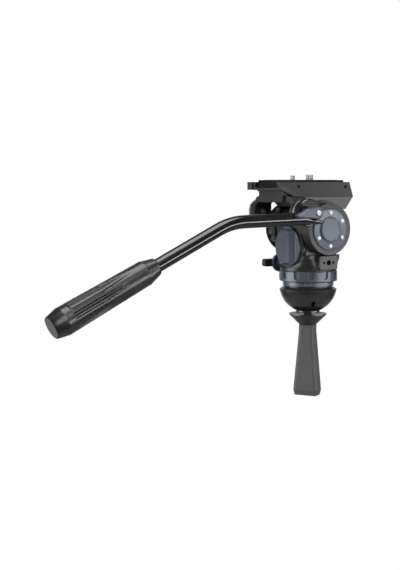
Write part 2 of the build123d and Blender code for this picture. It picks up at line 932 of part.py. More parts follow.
with BuildPart() as bubble_cup:
    with BuildSketch(level(ledge_height - bubble_depth)):
        with Locations((bubble_side, bubble_forward)):
            Circle(bubble_cup_radius)
    extrude(amount=bubble_depth)
    with BuildSketch(level(ledge_height)):
        with Locations((bubble_side, bubble_forward)):
            Circle(bubble_cup_radius - bubble_cup_wall)
    extrude(amount=bubble_cup_wall - bubble_depth, mode=Mode.SUBTRACT)
bubble_cup.part.label = "bubble_cup"
export_step(bubble_cup.part, "parts/bubble_cup.step")

with BuildPart() as bubble_vial:
    with BuildSketch(level(ledge_height - bubble_depth + bubble_cup_wall)):
        with Locations((bubble_side, bubble_forward)):
            Circle(bubble_cup_radius - bubble_cup_wall)
    extrude(amount=bubble_depth - 2 * bubble_cup_wall)
bubble_vial.part.label = "bubble_vial"
export_step(bubble_vial.part, "parts/bubble_vial.step")


# Inside the tilt bore: two bearing caps, the fluid drag cup and the
# counterbalance spring, all held by the housing

with BuildPart() as tilt_bearing_caps:
    with BuildSketch(facing_right(tower_half_width - bearing_cap_thickness)):
        with Locations((0, tilt_height)):
            Circle(tilt_bore_radius)
            Circle(shaft_radius + fit_play, mode=Mode.SUBTRACT)
    extrude(amount=bearing_cap_thickness)
    mirror(about=Plane.YZ)
tilt_bearing_caps.part.label = "tilt_bearing_caps"
export_step(tilt_bearing_caps.part, "parts/tilt_bearing_caps.step")

cup_left = -(tower_half_width - bearing_cap_thickness)

with BuildPart() as tilt_drag_cup:
    with BuildSketch(facing_right(cup_left)):
        with Locations((0, tilt_height)):
            Circle(drag_cup_radius)
            Circle(drag_cup_radius - drag_cup_wall, mode=Mode.SUBTRACT)
    extrude(amount=drag_cup_length)
    with BuildSketch(facing_right(cup_left + drag_cup_length - drag_cup_wall)):
        with Locations((0, tilt_height)):
            Circle(drag_cup_radius)
            Circle(shaft_radius + body_gap, mode=Mode.SUBTRACT)
    extrude(amount=drag_cup_wall)
tilt_drag_cup.part.label = "tilt_drag_cup"
export_step(tilt_drag_cup.part, "parts/tilt_drag_cup.step")

spring_room = tower_half_width - bearing_cap_thickness - spring_start
spring_pitch = (spring_room - 2 * spring_wire_radius) / spring_turns
spring_first = spring_start + spring_wire_radius

with BuildPart() as counterbalance_spring:
    with BuildLine() as coil:
        Helix(
            pitch=spring_pitch,
            height=spring_pitch * spring_turns,
            radius=spring_coil_radius,
            center=(spring_first, 0, tilt_height),
            direction=(1, 0, 0),
        )
    with BuildSketch(Plane(origin=coil.line @ 0, z_dir=coil.line % 0)):
        Circle(spring_wire_radius)
    sweep(path=coil.line, is_frenet=True)
print("spring gap between turns", round(spring_pitch - 2 * spring_wire_radius, 2))
counterbalance_spring.part.label = "counterbalance_spring"
export_step(counterbalance_spring.part, "parts/counterbalance_spring.step")


# Counterbalance knob: a disc with a broad bevelled grip across it

knob_back_face = knob_seat + running_gap
knob_front_face = knob_back_face + knob_disc_thickness

with BuildPart() as counterbalance_knob:
    with BuildSketch(facing_back(-knob_back_face)):
        with Locations((0, knob_height)):
            Circle(knob_radius)
    extrude(amount=knob_disc_thickness)
    with BuildSketch(facing_back(-knob_front_face)):
        with Locations((0, knob_height)):
            RectangleRounded(knob_grip_base_width, knob_grip_base_length, knob_grip_corner)
    with BuildSketch(facing_back(-(knob_front_face + knob_grip_height))):
        with Locations((0, knob_height)):
            RectangleRounded(knob_grip_top_width, knob_grip_top_length, knob_grip_corner)
    loft(ruled=True)
    with BuildSketch(facing_back(-knob_back_face)):
        with Locations((0, knob_height)):
            Circle(knob_radius)
    extrude(amount=knob_disc_thickness + knob_grip_height, mode=Mode.INTERSECT)
    knob_rim = counterbalance_knob.edges().filter_by(GeomType.CIRCLE).sort_by(Axis.Y)[-1]
    chamfer(knob_rim, knob_edge)
    with BuildSketch(facing_back(-knob_back_face)):
        with Locations((0, knob_height)):
            Circle(knob_spindle_radius)
    extrude(amount=knob_disc_thickness / 2, mode=Mode.SUBTRACT)
counterbalance_knob.part.label = "counterbalance_knob"
export_step(counterbalance_knob.part, "parts/counterbalance_knob.step")

with BuildPart() as counterbalance_spindle:
    with BuildSketch(facing_back(-(knob_seat - knob_spindle_depth))):
        with Locations((0, knob_height)):
            Circle(knob_spindle_radius)
    extrude(amount=knob_spindle_depth + running_gap + knob_disc_thickness / 2)
counterbalance_spindle.part.label = "counterbalance_spindle"
export_step(counterbalance_spindle.part, "parts/counterbalance_spindle.step")


# Locks on the left: each has a round hub and a short lever that points away
# from the middle, to the rear for pan and to the front for tilt

lock_hub_start = lock_boss_face + running_gap
lock_lever_start = lock_hub_start + lock_hub_thickness


def lock_hub_part(side):
    with BuildPart() as hub:
        with BuildSketch(facing_right(-lock_lever_start)):
            with Locations(at_lock(side)):
                Circle(lock_hub_radius)
                Circle(lock_screw_radius, mode=Mode.SUBTRACT)
        extrude(amount=lock_hub_thickness)
        outer_rim = hub.edges().filter_by(GeomType.CIRCLE).group_by(lambda e: e.radius)[-1]
        chamfer(outer_rim, lock_lever_edge / 2)
    return hub.part


def lock_lever_part(side):
    reach_middle = side * (lock_side_offset + (lock_lever_reach - lock_lever_back) / 2)
    with BuildPart() as lever:
        with BuildSketch(facing_right(-(lock_lever_start + lock_lever_thickness))):
            with Locations((reach_middle, lock_height)):
                RectangleRounded(lock_lever_reach + lock_lever_back, lock_lever_height, lock_lever_edge * 2)
        extrude(amount=lock_lever_thickness)
        chamfer(lever.faces().sort_by(Axis.X)[0].edges(), lock_lever_edge)
        with BuildSketch(facing_right(-lock_lever_start)):
            with Locations(at_lock(side)):
                Circle(lock_screw_radius)
        extrude(amount=-lock_lever_thickness / 2, mode=Mode.SUBTRACT)
    return lever.part


lock_screw_end = lock_lever_start + lock_lever_thickness / 2

with BuildPart() as pan_lock_hub:
    add(lock_hub_part(-1))
pan_lock_hub.part.label = "pan_lock_hub"
export_step(pan_lock_hub.part, "parts/pan_lock_hub.step")

with BuildPart() as pan_lock_lever:
    add(lock_lever_part(-1))
pan_lock_lever.part.label = "pan_lock_lever"
export_step(pan_lock_lever.part, "parts/pan_lock_lever.step")

with BuildPart() as pan_lock_screw:
    with BuildSketch(facing_right(-lock_screw_end)):
        with Locations(at_lock(-1)):
            Circle(lock_screw_radius)
    extrude(amount=lock_screw_end - lock_shoe_start - body_gap)
pan_lock_screw.part.label = "pan_lock_screw"
export_step(pan_lock_screw.part, "parts/pan_lock_screw.step")

# The shoe is a round bar whose inner end is scooped to the drum's radius
with BuildPart() as pan_lock_shoe:
    with BuildSketch(facing_right(-lock_shoe_start + running_gap)):
        with Locations(at_lock(-1)):
            Circle(lock_shoe_radius)
    extrude(amount=lock_shoe_start - running_gap - groove_inner_radius - body_gap)
    with BuildSketch(level(hub_top)):
        Circle(brake_drum_radius + running_gap)
    extrude(amount=groove_top - hub_top + cut_over, mode=Mode.SUBTRACT)
pan_lock_shoe.part.label = "pan_lock_shoe"
export_step(pan_lock_shoe.part, "parts/pan_lock_shoe.step")

with BuildPart() as tilt_lock_hub:
    add(lock_hub_part(1))
tilt_lock_hub.part.label = "tilt_lock_hub"
export_step(tilt_lock_hub.part, "parts/tilt_lock_hub.step")

with BuildPart() as tilt_lock_lever:
    add(lock_lever_part(1))
tilt_lock_lever.part.label = "tilt_lock_lever"
export_step(tilt_lock_lever.part, "parts/tilt_lock_lever.step")

with BuildPart() as tilt_lock_cam:
    with BuildSketch(facing_right(-lock_screw_end)):
        with Locations(at_lock(1)):
            Circle(lock_screw_radius)
    extrude(amount=lock_screw_end - cam_end)
    with BuildSketch(facing_right(-cam_start)):
        with Locations((lock_side_offset, lock_height - cam_offset)):
            Circle(cam_radius)
    extrude(amount=cam_start - cam_end)
tilt_lock_cam.part.label = "tilt_lock_cam"
export_step(tilt_lock_cam.part, "parts/tilt_lock_cam.step")

# The brake shoe stands on the cam and follows the rim of the left ear
cam_top = lock_height - cam_offset + cam_radius

with BuildPart() as tilt_brake_shoe:
    with BuildSketch(level(cam_top + fit_play)):
        with Locations((shoe_mid_x, brake_shoe_middle)):
            Rectangle(cam_start - cam_end, 2 * brake_shoe_half_length)
    extrude(amount=tilt_height - cam_top - ear_radius / 2)
    with BuildSketch(facing_right(-cam_start - cut_over)):
        with Locations((0, tilt_height)):
            Circle(ear_radius + brake_shoe_gap)
    extrude(amount=cam_start - cam_end + 2 * cut_over, mode=Mode.SUBTRACT)
tilt_brake_shoe.part.label = "tilt_brake_shoe"
export_step(tilt_brake_shoe.part, "parts/tilt_brake_shoe.step")


# Tilt cradle: its cross-section runs along Y and is trimmed by the side
# outline; ears, rosette bosses and the clamp shelf grow from it

rosette_radius = rosette_diameter / 2
boss_inner_radius = rosette_radius - boss_taper
shelf_under = jaw_floor - shelf_thickness
clamp_pivot_x = -(jaw_outer + running_gap + clamp_hub_radius + clamp_cam_offset)
belly_front_back = cradle_bottom_back + belly_rise


def boss_arm(start, face):
    """Outline, seen from behind, of the arm that carries a rosette boss."""
    return (
        (belly_half_width - boss_arm_root, belly_under),
        (belly_half_width - boss_arm_root, boss_arm_top),
        (cradle_crease_half_width - boss_arm_overlap, boss_arm_top),
        (cradle_crease_half_width + boss_arm_knee, boss_arm_knee_height),
        (face - boss_arm_overlap, boss_arm_end_top),
        (face - boss_arm_overlap, rosette_height),
        (start, rosette_height),
        (start, boss_arm_foot),
        (start - (belly_under - boss_arm_foot), belly_under),
    )


with BuildPart() as tilt_cradle:
    with BuildSketch(facing_back(cradle_crease_front)):
        with BuildLine():
            Polyline(
                (0, cradle_bottom),
                (cradle_bottom_half_width, cradle_bottom),
                (cradle_crease_half_width, cradle_crease_height),
                (cradle_top_half_width, cradle_top),
                (0, cradle_top),
                close=True,
            )
        make_face()
        mirror(about=Plane.YZ)
    extrude(amount=cradle_crease_front + cradle_back)
    with BuildSketch(facing_right(-cradle_crease_half_width)):
        with BuildLine():
            Polyline(
                (cradle_front_top, cradle_top),
                (cradle_crease_front, cradle_crease_height),
                (cradle_bottom_front, cradle_bottom),
                (-cradle_bottom_back, cradle_bottom),
                (-belly_front_back, belly_under),
                (-belly_back, belly_under),
                (-belly_back, cradle_back_under),
                (-cradle_back, cradle_back_under),
                (-cradle_back, cradle_top),
                close=True,
            )
        make_face()
    extrude(amount=2 * cradle_crease_half_width, mode=Mode.INTERSECT)
    crease_edges = tilt_cradle.edges().filter_by(Axis.Y).filter_by_position(
        Axis.Z, cradle_crease_height - cut_over, cradle_crease_height + cut_over
    )
    fillet(crease_edges, cradle_crease_round)
    # the flanks narrow towards the rear
    with BuildSketch(level(cradle_bottom)):
        with BuildLine():
            Polyline(
                (cradle_top_half_width, -cradle_back - cut_over),
                (cradle_top_half_width, -cradle_back),
                (cradle_crease_half_width, cradle_corner_run - cradle_back),
                (cradle_crease_half_width + cut_over, cradle_corner_run - cradle_back),
                (cradle_crease_half_width + cut_over, -cradle_back - cut_over),
                close=True,
            )
        make_face()
        mirror(about=Plane.YZ)
    extrude(amount=cradle_top + cut_over - cradle_bottom, mode=Mode.SUBTRACT)
    # outside the belly the walls get shallower towards the rear
    for side in (-1, 1):
        with BuildSketch(facing_right(side * belly_half_width)):
            with BuildLine():
                Polyline(
                    (-wall_step_back, cradle_crease_height),
                    (-cradle_back - cut_over, wall_step_height),
                    (-cradle_back - cut_over, cradle_bottom),
                    (-wall_step_back, cradle_bottom),
                    close=True,
                )
            make_face()
        extrude(amount=side * (cradle_crease_half_width + cut_over - belly_half_width), mode=Mode.SUBTRACT)
    # ears
    with BuildSketch(facing_right(ear_inner)):
        with Locations((0, tilt_height)):
            Circle(ear_radius)
    extrude(amount=right_ear_thickness)
    with BuildSketch(facing_right(-ear_inner)):
        with Locations((0, tilt_height)):
            Circle(ear_radius)
    extrude(amount=-left_ear_thickness)
    # collars that join the ears to the cheeks
    for side in (-1, 1):
        with BuildSketch(facing_right(side * ear_inner)):
            with Locations((0, tilt_height)):
                Circle(ear_radius + ear_collar_rise)
            with Locations((0, cradle_bottom)):
                Rectangle(
                    2 * (ear_radius + ear_collar_rise),
                    tilt_height + ear_radius + ear_collar_rise - cradle_bottom,
                    align=(Align.CENTER, Align.MIN),
                    mode=Mode.INTERSECT,
                )
        extrude(amount=side * ear_collar_thickness)
    # hub of the left drag dial
    with BuildSketch(facing_right(-left_ear_face)):
        with Locations((0, tilt_height)):
            Circle(left_hub_radius)
    extrude(amount=-left_hub_length)
    # room for the tower's drum and, behind it, for the rear knob
    with BuildSketch(facing_right(-ear_inner)):
        with Locations((0, tilt_height)):
            Circle(tower_drum_radius + ear_gap)
    extrude(amount=2 * ear_inner, mode=Mode.SUBTRACT)
    with BuildSketch(facing_right(-back_relief_half_width)):
        with BuildLine():
            start_z = sqrt(back_relief_radius**2 - back_relief_start**2)
            CenterArc(
                (0, tilt_height),
                back_relief_radius,
                180,
                -(90 - asin(back_relief_start / back_relief_radius) * 180 / pi),
            )
            Polyline(
                (-back_relief_start, tilt_height + start_z),
                (-back_relief_start, tilt_height),
                (-back_relief_radius, tilt_height),
            )
        make_face()
    extrude(amount=2 * back_relief_half_width, mode=Mode.SUBTRACT)
    # rosette bosses and their arms
    for start, face, side in ((right_boss_start, right_boss_face, 1), (left_boss_start, left_boss_face, -1)):
        with BuildSketch(facing_back(boss_inner_radius - rosette_back)):
            with BuildLine():
                Polyline(*[(side * x, z) for x, z in boss_arm(start, face)], close=True)
            make_face()
        extrude(amount=boss_inner_radius + boss_arm_back)
        with BuildSketch(facing_right(side * start)):
            with Locations((-rosette_back, rosette_height)):
                Circle(boss_inner_radius)
        with BuildSketch(facing_right(side * (start + boss_taper_length))):
            with Locations((-rosette_back, rosette_height)):
                Circle(rosette_radius)
        loft()
        with BuildSketch(facing_right(side * (start + boss_taper_length))):
            with Locations((-rosette_back, rosette_height)):
                Circle(rosette_radius)
        extrude(amount=side * (face - start - boss_taper_length))
        with BuildSketch(facing_right(side * start)):
            with Locations((-rosette_back, rosette_height)):
                Circle(boss_recess_radius)
                Circle(boss_recess_radius / 2, mode=Mode.SUBTRACT)
        extrude(amount=side * boss_recess_depth, mode=Mode.SUBTRACT)
    # clamp thread on the right; blind thread and a small screw on the left
    with BuildSketch(facing_right(right_boss_start)):
        with Locations((-rosette_back, rosette_height)):
            Circle(rosette_thread_radius)
    extrude(amount=right_boss_face - right_boss_start, mode=Mode.SUBTRACT)
    with BuildSketch(facing_right(-left_boss_face)):
        with Locations((-rosette_back, rosette_height)):
            Circle(rosette_thread_radius)
    extrude(amount=left_thread_depth, mode=Mode.SUBTRACT)
    with BuildSketch(facing_right(-left_boss_start)):
        with Locations((-rosette_back, rosette_height)):
            Circle(blank_screw_radius)
    extrude(amount=-blank_screw_depth, mode=Mode.SUBTRACT)
    # recess of the right cover and its screw holes
    with BuildSketch(facing_right(right_ear_face)):
        with Locations((0, tilt_height)):
            Circle(cover_radius)
    extrude(amount=-cover_recess, mode=Mode.SUBTRACT)
    with BuildSketch(facing_right(right_ear_face - cover_recess)):
        with Locations((0, tilt_height)):
            with PolarLocations(cover_screw_circle, cover_screw_count, 90):
                Circle(cover_screw_radius)
    extrude(amount=-(cover_screw_length - cover_recess), mode=Mode.SUBTRACT)
    # shaft bore through both ears
    with BuildSketch(facing_right(-(left_ear_face + left_hub_length))):
        with Locations((0, tilt_height)):
            Circle(shaft_radius)
    extrude(amount=left_ear_face + left_hub_length + right_ear_face, mode=Mode.SUBTRACT)
    # dovetail channel, open at both ends
    with BuildSketch(facing_back(cradle_crease_front + cut_over)):
        with BuildLine():
            Polyline(
                (0, channel_floor),
                (channel_half_width, channel_floor),
                (channel_half_width, channel_lip),
                (channel_mouth_half_width, cradle_top),
                (channel_mouth_half_width, cradle_top + cut_over),
                (0, cradle_top + cut_over),
                close=True,
            )
        make_face()
        mirror(about=Plane.YZ)
    extrude(amount=cradle_crease_front + cradle_back + 2 * cut_over, mode=Mode.SUBTRACT)
    # clamp shelf on the left, then the gap in the left wall for the jaw
    with BuildSketch(level(shelf_under)):
        with Locations((-(shelf_side + belly_half_width) / 2, -(shelf_front + shelf_back) / 2)):
            RectangleRounded(shelf_side - belly_half_width, shelf_back - shelf_front, clamp_hub_radius / 2)
    extrude(amount=shelf_thickness)
    with BuildSketch(facing_back(-jaw_front + running_gap)):
        with Locations((-shelf_side, jaw_floor)):
            Rectangle(
                shelf_side - channel_mouth_half_width,
                cradle_top + cut_over - jaw_floor,
                align=(Align.MIN, Align.MIN),
            )
    extrude(amount=jaw_back - jaw_front + 2 * running_gap, mode=Mode.SUBTRACT)
    with BuildSketch(level(shelf_under)):
        with Locations((clamp_pivot_x, -clamp_pivot_back)):
            Circle(clamp_pin_radius)
    extrude(amount=shelf_thickness, mode=Mode.SUBTRACT)
    # button bore in the left wall
    with BuildSketch(facing_right(-cradle_crease_half_width)):
        with Locations((button_forward, button_height)):
            Circle(button_radius + fit_play)
    extrude(amount=cradle_crease_half_width - channel_half_width + button_depth, mode=Mode.SUBTRACT)
    # screw holes in the right wall
    with BuildSketch(facing_right(channel_half_width)):
        with Locations((-wall_screw_back, wall_screw_height), (wall_screw_front, wall_screw_height)):
            Circle(wall_screw_radius)
    extrude(amount=cradle_crease_half_width - channel_half_width, mode=Mode.SUBTRACT)
tilt_cradle.part.label = "tilt_cradle"
export_step(tilt_cradle.part, "parts/tilt_cradle.step")

with BuildPart() as tilt_shaft:
    with BuildSketch(facing_right(-(left_ear_face + left_hub_length))):
        with Locations((0, tilt_height)):
            Circle(shaft_radius)
    extrude(amount=left_ear_face + left_hub_length + right_ear_face - cover_recess)
tilt_shaft.part.label = "tilt_shaft"
export_step(tilt_shaft.part, "parts/tilt_shaft.step")

rotor_start = cup_left + rotor_play

with BuildPart() as tilt_drag_rotor:
    with BuildSketch(facing_right(rotor_start)):
        with Locations((0, tilt_height)):
            Circle(drag_cup_radius - drag_cup_wall - rotor_play)
            Circle(shaft_radius, mode=Mode.SUBTRACT)
    extrude(amount=rotor_length)
tilt_drag_rotor.part.label = "tilt_drag_rotor"
export_step(tilt_drag_rotor.part, "parts/tilt_drag_rotor.step")

# Right cover: a disc with a raised round cap, held by six screws
cover_back = right_ear_face - cover_recess
cover_face = right_ear_face + cover_proud

with BuildPart() as tilt_cover:
    with BuildSketch(facing_right(cover_back)):
        with Locations((0, tilt_height)):
            Circle(cover_radius)
    extrude(amount=cover_face - cover_back)
    chamfer(tilt_cover.faces().sort_by(Axis.X)[-1].edges(), cover_chamfer)
    with BuildSketch(facing_right(cover_back)):
        with Locations((0, tilt_height)):
            with PolarLocations(cover_screw_circle, cover_screw_count, 90):
                Circle(cover_screw_radius)
    extrude(amount=cover_face - cover_back, mode=Mode.SUBTRACT)
    with BuildSketch(facing_right(cover_face)):
        with Locations((0, tilt_height)):
            with PolarLocations(cover_screw_circle, cover_screw_count, 90):
                Circle(cover_screw_head_radius)
    extrude(amount=-cover_screw_head_height / 2, mode=Mode.SUBTRACT)
tilt_cover.part.label = "tilt_cover"
export_step(tilt_cover.part, "parts/tilt_cover.step")

with BuildPart() as tilt_cap:
    with BuildSketch(facing_right(cover_face)):
        with Locations((0, tilt_height)):
            Circle(cap_radius)
    extrude(amount=cap_height)
    chamfer(tilt_cap.faces().sort_by(Axis.X)[-1].edges(), cap_height / 2)
    with BuildSketch(facing_right(cover_face + cap_height)):
        with Locations((0, tilt_height)):
            Circle(cap_radius - cap_step)
    extrude(amount=-cap_height / 3, mode=Mode.SUBTRACT)
tilt_cap.part.label = "tilt_cap"
export_step(tilt_cap.part, "parts/tilt_cap.step")

screw_seat = cover_face - cover_screw_head_height / 2

with BuildPart() as tilt_cover_screws:
    with BuildSketch(facing_right(screw_seat)):
        with Locations((0, tilt_height)):
            with PolarLocations(cover_screw_circle, cover_screw_count, 90):
                Circle(cover_screw_head_radius)
    extrude(amount=cover_screw_head_height)
    with BuildSketch(facing_right(right_ear_face - cover_screw_length)):
        with Locations((0, tilt_height)):
            with PolarLocations(cover_screw_circle, cover_screw_count, 90):
                Circle(cover_screw_radius)
    extrude(amount=screw_seat - right_ear_face + cover_screw_length)
    with BuildSketch(facing_right(screw_seat + cover_screw_head_height)):
        with Locations((0, tilt_height)):
            with PolarLocations(cover_screw_circle, cover_screw_count, 90):
                RegularPolygon(cover_screw_head_radius * hex_key_share, 6)
    extrude(amount=-cover_screw_head_height * hex_key_share, mode=Mode.SUBTRACT)
tilt_cover_screws.part.label = "tilt_cover_screws"
export_step(tilt_cover_screws.part, "parts/tilt_cover_screws.step")


# Left drag dial: a fluted ring that turns on the ear's hub, and its rim disc

dial_start = left_ear_face + running_gap
hub_end = left_ear_face + left_hub_length

with BuildPart() as tilt_drag_dial:
    with BuildSketch(facing_right(-dial_face)):
        with Locations((0, tilt_height)):
            Circle(dial_radius)
            with PolarLocations(dial_flute_circle, dial_flute_count):
                Circle(dial_flute_radius, mode=Mode.SUBTRACT)
    extrude(amount=dial_face - dial_start)
    with BuildSketch(facing_right(-dial_start)):
        with Locations((0, tilt_height)):
            Circle(left_hub_radius + fit_play)
    extrude(amount=-(hub_end + running_gap - dial_start), mode=Mode.SUBTRACT)
tilt_drag_dial.part.label = "tilt_drag_dial"
export_step(tilt_drag_dial.part, "parts/tilt_drag_dial.step")

with BuildPart() as dial_rim:
    with BuildSketch(facing_right(-dial_rim_face)):
        with Locations((0, tilt_height)):
            Circle(dial_rim_radius)
    extrude(amount=dial_rim_face - dial_face)
    chamfer(dial_rim.faces().sort_by(Axis.X)[0].edges(), dial_rim_chamfer)
    with BuildSketch(facing_right(-dial_rim_face)):
        with Locations((0, tilt_height)):
            Circle(cap_radius + cap_step)
            Circle(cap_radius, mode=Mode.SUBTRACT)
    extrude(amount=cap_height / 2, mode=Mode.SUBTRACT)
dial_rim.part.label = "dial_rim"
export_step(dial_rim.part, "parts/dial_rim.step")


# Rosette rings: flat steel rings with radial V teeth on the outer face

def rosette_ring_part(side, face):
    outer = side * (face + rosette_thickness)
    with BuildPart() as ring:
        with BuildSketch(facing_right(side * face)):
            with Locations((-rosette_back, rosette_height)):
                Circle(rosette_radius)
                Circle(rosette_bore, mode=Mode.SUBTRACT)
        extrude(amount=side * rosette_thickness)
        for i in range(rosette_tooth_count):
            turn = radians(i * 360 / rosette_tooth_count)
            along = (0, cos(turn), sin(turn))
            tooth_plane = Plane(
                origin=(outer, -rosette_back, rosette_height),
                x_dir=(side, 0, 0),
                z_dir=along,
            )
            with BuildSketch(tooth_plane):
                with BuildLine():
                    Polyline(
                        (-rosette_tooth_depth, 0),
                        (0, rosette_tooth_width / 2),
                        (cut_over, rosette_tooth_width / 2),
                        (cut_over, -rosette_tooth_width / 2),
                        (0, -rosette_tooth_width / 2),
                        close=True,
                    )
                make_face()
            extrude(amount=rosette_radius + cut_over, mode=Mode.SUBTRACT)
    return ring.part


with BuildPart() as rosette_rings:
    add(rosette_ring_part(1, right_boss_face))
    add(rosette_ring_part(-1, left_boss_face))
rosette_rings.part.label = "rosette_rings"
export_step(rosette_rings.part, "parts/rosette_rings.step")

with BuildPart() as rosette_blank_screw:
    with BuildSketch(facing_right(-left_boss_start)):
        with Locations((-rosette_back, rosette_height)):
            Circle(blank_screw_head_radius)
    extrude(amount=blank_screw_head_height)
    with BuildSketch(facing_right(-left_boss_start)):
        with Locations((-rosette_back, rosette_height)):
            Circle(blank_screw_radius)
    extrude(amount=-blank_screw_depth)
rosette_blank_screw.part.label = "rosette_blank_screw"
export_step(rosette_blank_screw.part, "parts/rosette_blank_screw.step")


# Screws sunk in the right wall, and the safety button in the left wall

def wall_face_at(z):
    """Half-width of the cradle's outer wall at height z."""
    rise = (z - cradle_crease_height) / (cradle_top - cradle_crease_height)
    return cradle_crease_half_width + rise * (cradle_top_half_width - cradle_crease_half_width)


with BuildPart() as wall_screws:
    with BuildSketch(facing_right(wall_face_at(wall_screw_height) - wall_screw_sink)):
        with Locations((-wall_screw_back, wall_screw_height), (wall_screw_front, wall_screw_height)):
            Circle(wall_screw_radius)
            RegularPolygon(wall_screw_radius * hex_key_share, 6, mode=Mode.SUBTRACT)
    extrude(amount=-wall_screw_length)
wall_screws.part.label = "wall_screws"
export_step(wall_screws.part, "parts/wall_screws.step")

button_end = wall_face_at(button_height) + button_proud

with BuildPart() as safety_button:
    with BuildSketch(facing_right(-button_end)):
        with Locations((button_forward, button_height)):
            Circle(button_radius)
    extrude(amount=button_end - channel_half_width)
    chamfer(safety_button.faces().sort_by(Axis.X)[0].edges(), button_radius / 6)
safety_button.part.label = "safety_button"
export_step(safety_button.part, "parts/safety_button.step")


# Camera plate: a dovetail slide with two stepped slots for the camera screws

plate_bottom = channel_floor + plate_float
plate_play = plate_float / 2
plate_front = plate_length - plate_back
plate_base_half = channel_half_width - plate_float
plate_top_half = channel_mouth_half_width - plate_float
plate_lip = channel_lip - plate_play


with BuildPart() as camera_plate:
    with BuildSketch(facing_back(plate_front)):
        with BuildLine():
            Polyline(
                (0, plate_bottom),
                (plate_base_half, plate_bottom),
                (plate_base_half, plate_lip),
                (plate_top_half, cradle_top - plate_play),
                (plate_top_half, plate_top),
                (0, plate_top),
                close=True,
            )
        make_face()
        mirror(about=Plane.YZ)
    extrude(amount=plate_length)
    top_rim = camera_plate.faces().sort_by(Axis.Z)[-1].edges()
    chamfer(top_rim, plate_edge / 2)
    with BuildSketch(level(plate_top)):
        with GridLocations(2 * pad_offset, 0, 2, 1):
            with Locations((0, (plate_front - plate_back) / 2)):
                Rectangle(pad_width, plate_length - 2 * pad_end)
    extrude(amount=-pad_inset, mode=Mode.SUBTRACT)
    # each screw has a through slot for its shank and a wider one for its head
    for back, width, head_radius in (
        (quarter_screw_back, quarter_slot_width, quarter_head_radius),
        (three_eighths_screw_back, three_eighths_slot_width, three_eighths_head_radius),
    ):
        with BuildSketch(level(plate_bottom)):
            with Locations((0, -back)):
                SlotOverall(2 * slot_travel + width, width, rotation=90)
        extrude(amount=plate_top - plate_bottom, mode=Mode.SUBTRACT)
        with BuildSketch(level(plate_bottom)):
            with Locations((0, -back)):
                SlotOverall(
                    2 * (slot_travel + head_radius + running_gap),
                    2 * (head_radius + running_gap),
                    rotation=90,
                )
        extrude(amount=counterbore_top - plate_bottom, mode=Mode.SUBTRACT)
camera_plate.part.label = "camera_plate"
export_step(camera_plate.part, "parts/camera_plate.step")

with BuildPart() as plate_pads:
    with BuildSketch(level(plate_top - pad_inset)):
        with GridLocations(2 * pad_offset, 0, 2, 1):
            with Locations((0, (plate_front - plate_back) / 2)):
                Rectangle(pad_width, plate_length - 2 * pad_end)
    extrude(amount=pad_inset + pad_proud)
plate_pads.part.label = "plate_pads"
export_step(plate_pads.part, "parts/plate_pads.step")


def camera_screw_part(back, radius, neck_radius, head_radius, proud):
    """Captive screw: a coin-slotted head, a thin neck and a threaded end."""
    with BuildPart() as screw:
        with BuildSketch(level(screw_head_bottom)):
            with Locations((0, -back)):
                Circle(head_radius)
        extrude(amount=screw_head_top - screw_head_bottom)
        with BuildSketch(level(screw_head_top)):
            with Locations((0, -back)):
                Circle(neck_radius)
        extrude(amount=plate_top - screw_head_top)
        with BuildSketch(level(plate_top)):
            with Locations((0, -back)):
                Circle(radius)
        extrude(amount=proud)
        chamfer(screw.faces().sort_by(Axis.Z)[-1].edges(), screw_tip_chamfer)
        with BuildSketch(level(screw_head_bottom)):
            with Locations((0, -back)):
                Rectangle(2 * head_radius + cut_over, coin_slot_width)
        extrude(amount=coin_slot_depth, mode=Mode.SUBTRACT)
    return screw.part


def retainer_part(back, radius, head_radius):
    """Washer that keeps a camera screw in its slot."""
    with BuildPart() as retainer:
        with BuildSketch(level(screw_head_top + fit_play)):
            with Locations((0, -back)):
                Circle(head_radius)
                Circle(radius + fit_play, mode=Mode.SUBTRACT)
        extrude(amount=washer_top - screw_head_top - fit_play)
    return retainer.part


with BuildPart() as quarter_screw:
    add(
        camera_screw_part(
            quarter_screw_back,
            quarter_inch_radius,
            quarter_neck_radius,
            quarter_head_radius,
            quarter_screw_proud,
        )
    )
quarter_screw.part.label = "quarter_screw"
export_step(quarter_screw.part, "parts/quarter_screw.step")

with BuildPart() as quarter_retainer:
    add(retainer_part(quarter_screw_back, quarter_neck_radius, quarter_head_radius))
quarter_retainer.part.label = "quarter_retainer"
export_step(quarter_retainer.part, "parts/quarter_retainer.step")

with BuildPart() as three_eighths_screw:
    add(
        camera_screw_part(
            three_eighths_screw_back,
            three_eighths_radius,
            three_eighths_neck_radius,
            three_eighths_head_radius,
            three_eighths_screw_proud,
        )
    )
three_eighths_screw.part.label = "three_eighths_screw"
export_step(three_eighths_screw.part, "parts/three_eighths_screw.step")

with BuildPart() as three_eighths_retainer:
    add(retainer_part(three_eighths_screw_back, three_eighths_neck_radius, three_eighths_head_radius))
three_eighths_retainer.part.label = "three_eighths_retainer"
export_step(three_eighths_retainer.part, "parts/three_eighths_retainer.step")


# Plate clamp: a sliding jaw, and a lever whose round hub is a cam on its pin

with BuildPart() as plate_jaw:
    with BuildSketch(facing_back(-jaw_front)):
        with BuildLine():
            Polyline(
                (-channel_half_width, jaw_floor + plate_play),
                (-channel_half_width, channel_lip),
                (-channel_mouth_half_width, cradle_top),
                (-jaw_outer, cradle_top),
                (-jaw_outer, jaw_floor + plate_play),
                close=True,
            )
        make_face()
    extrude(amount=jaw_back - jaw_front)
plate_jaw.part.label = "plate_jaw"
export_step(plate_jaw.part, "parts/plate_jaw.step")

arm_middle_x = clamp_pivot_x + clamp_cam_offset
lever_bottom = jaw_floor + plate_play

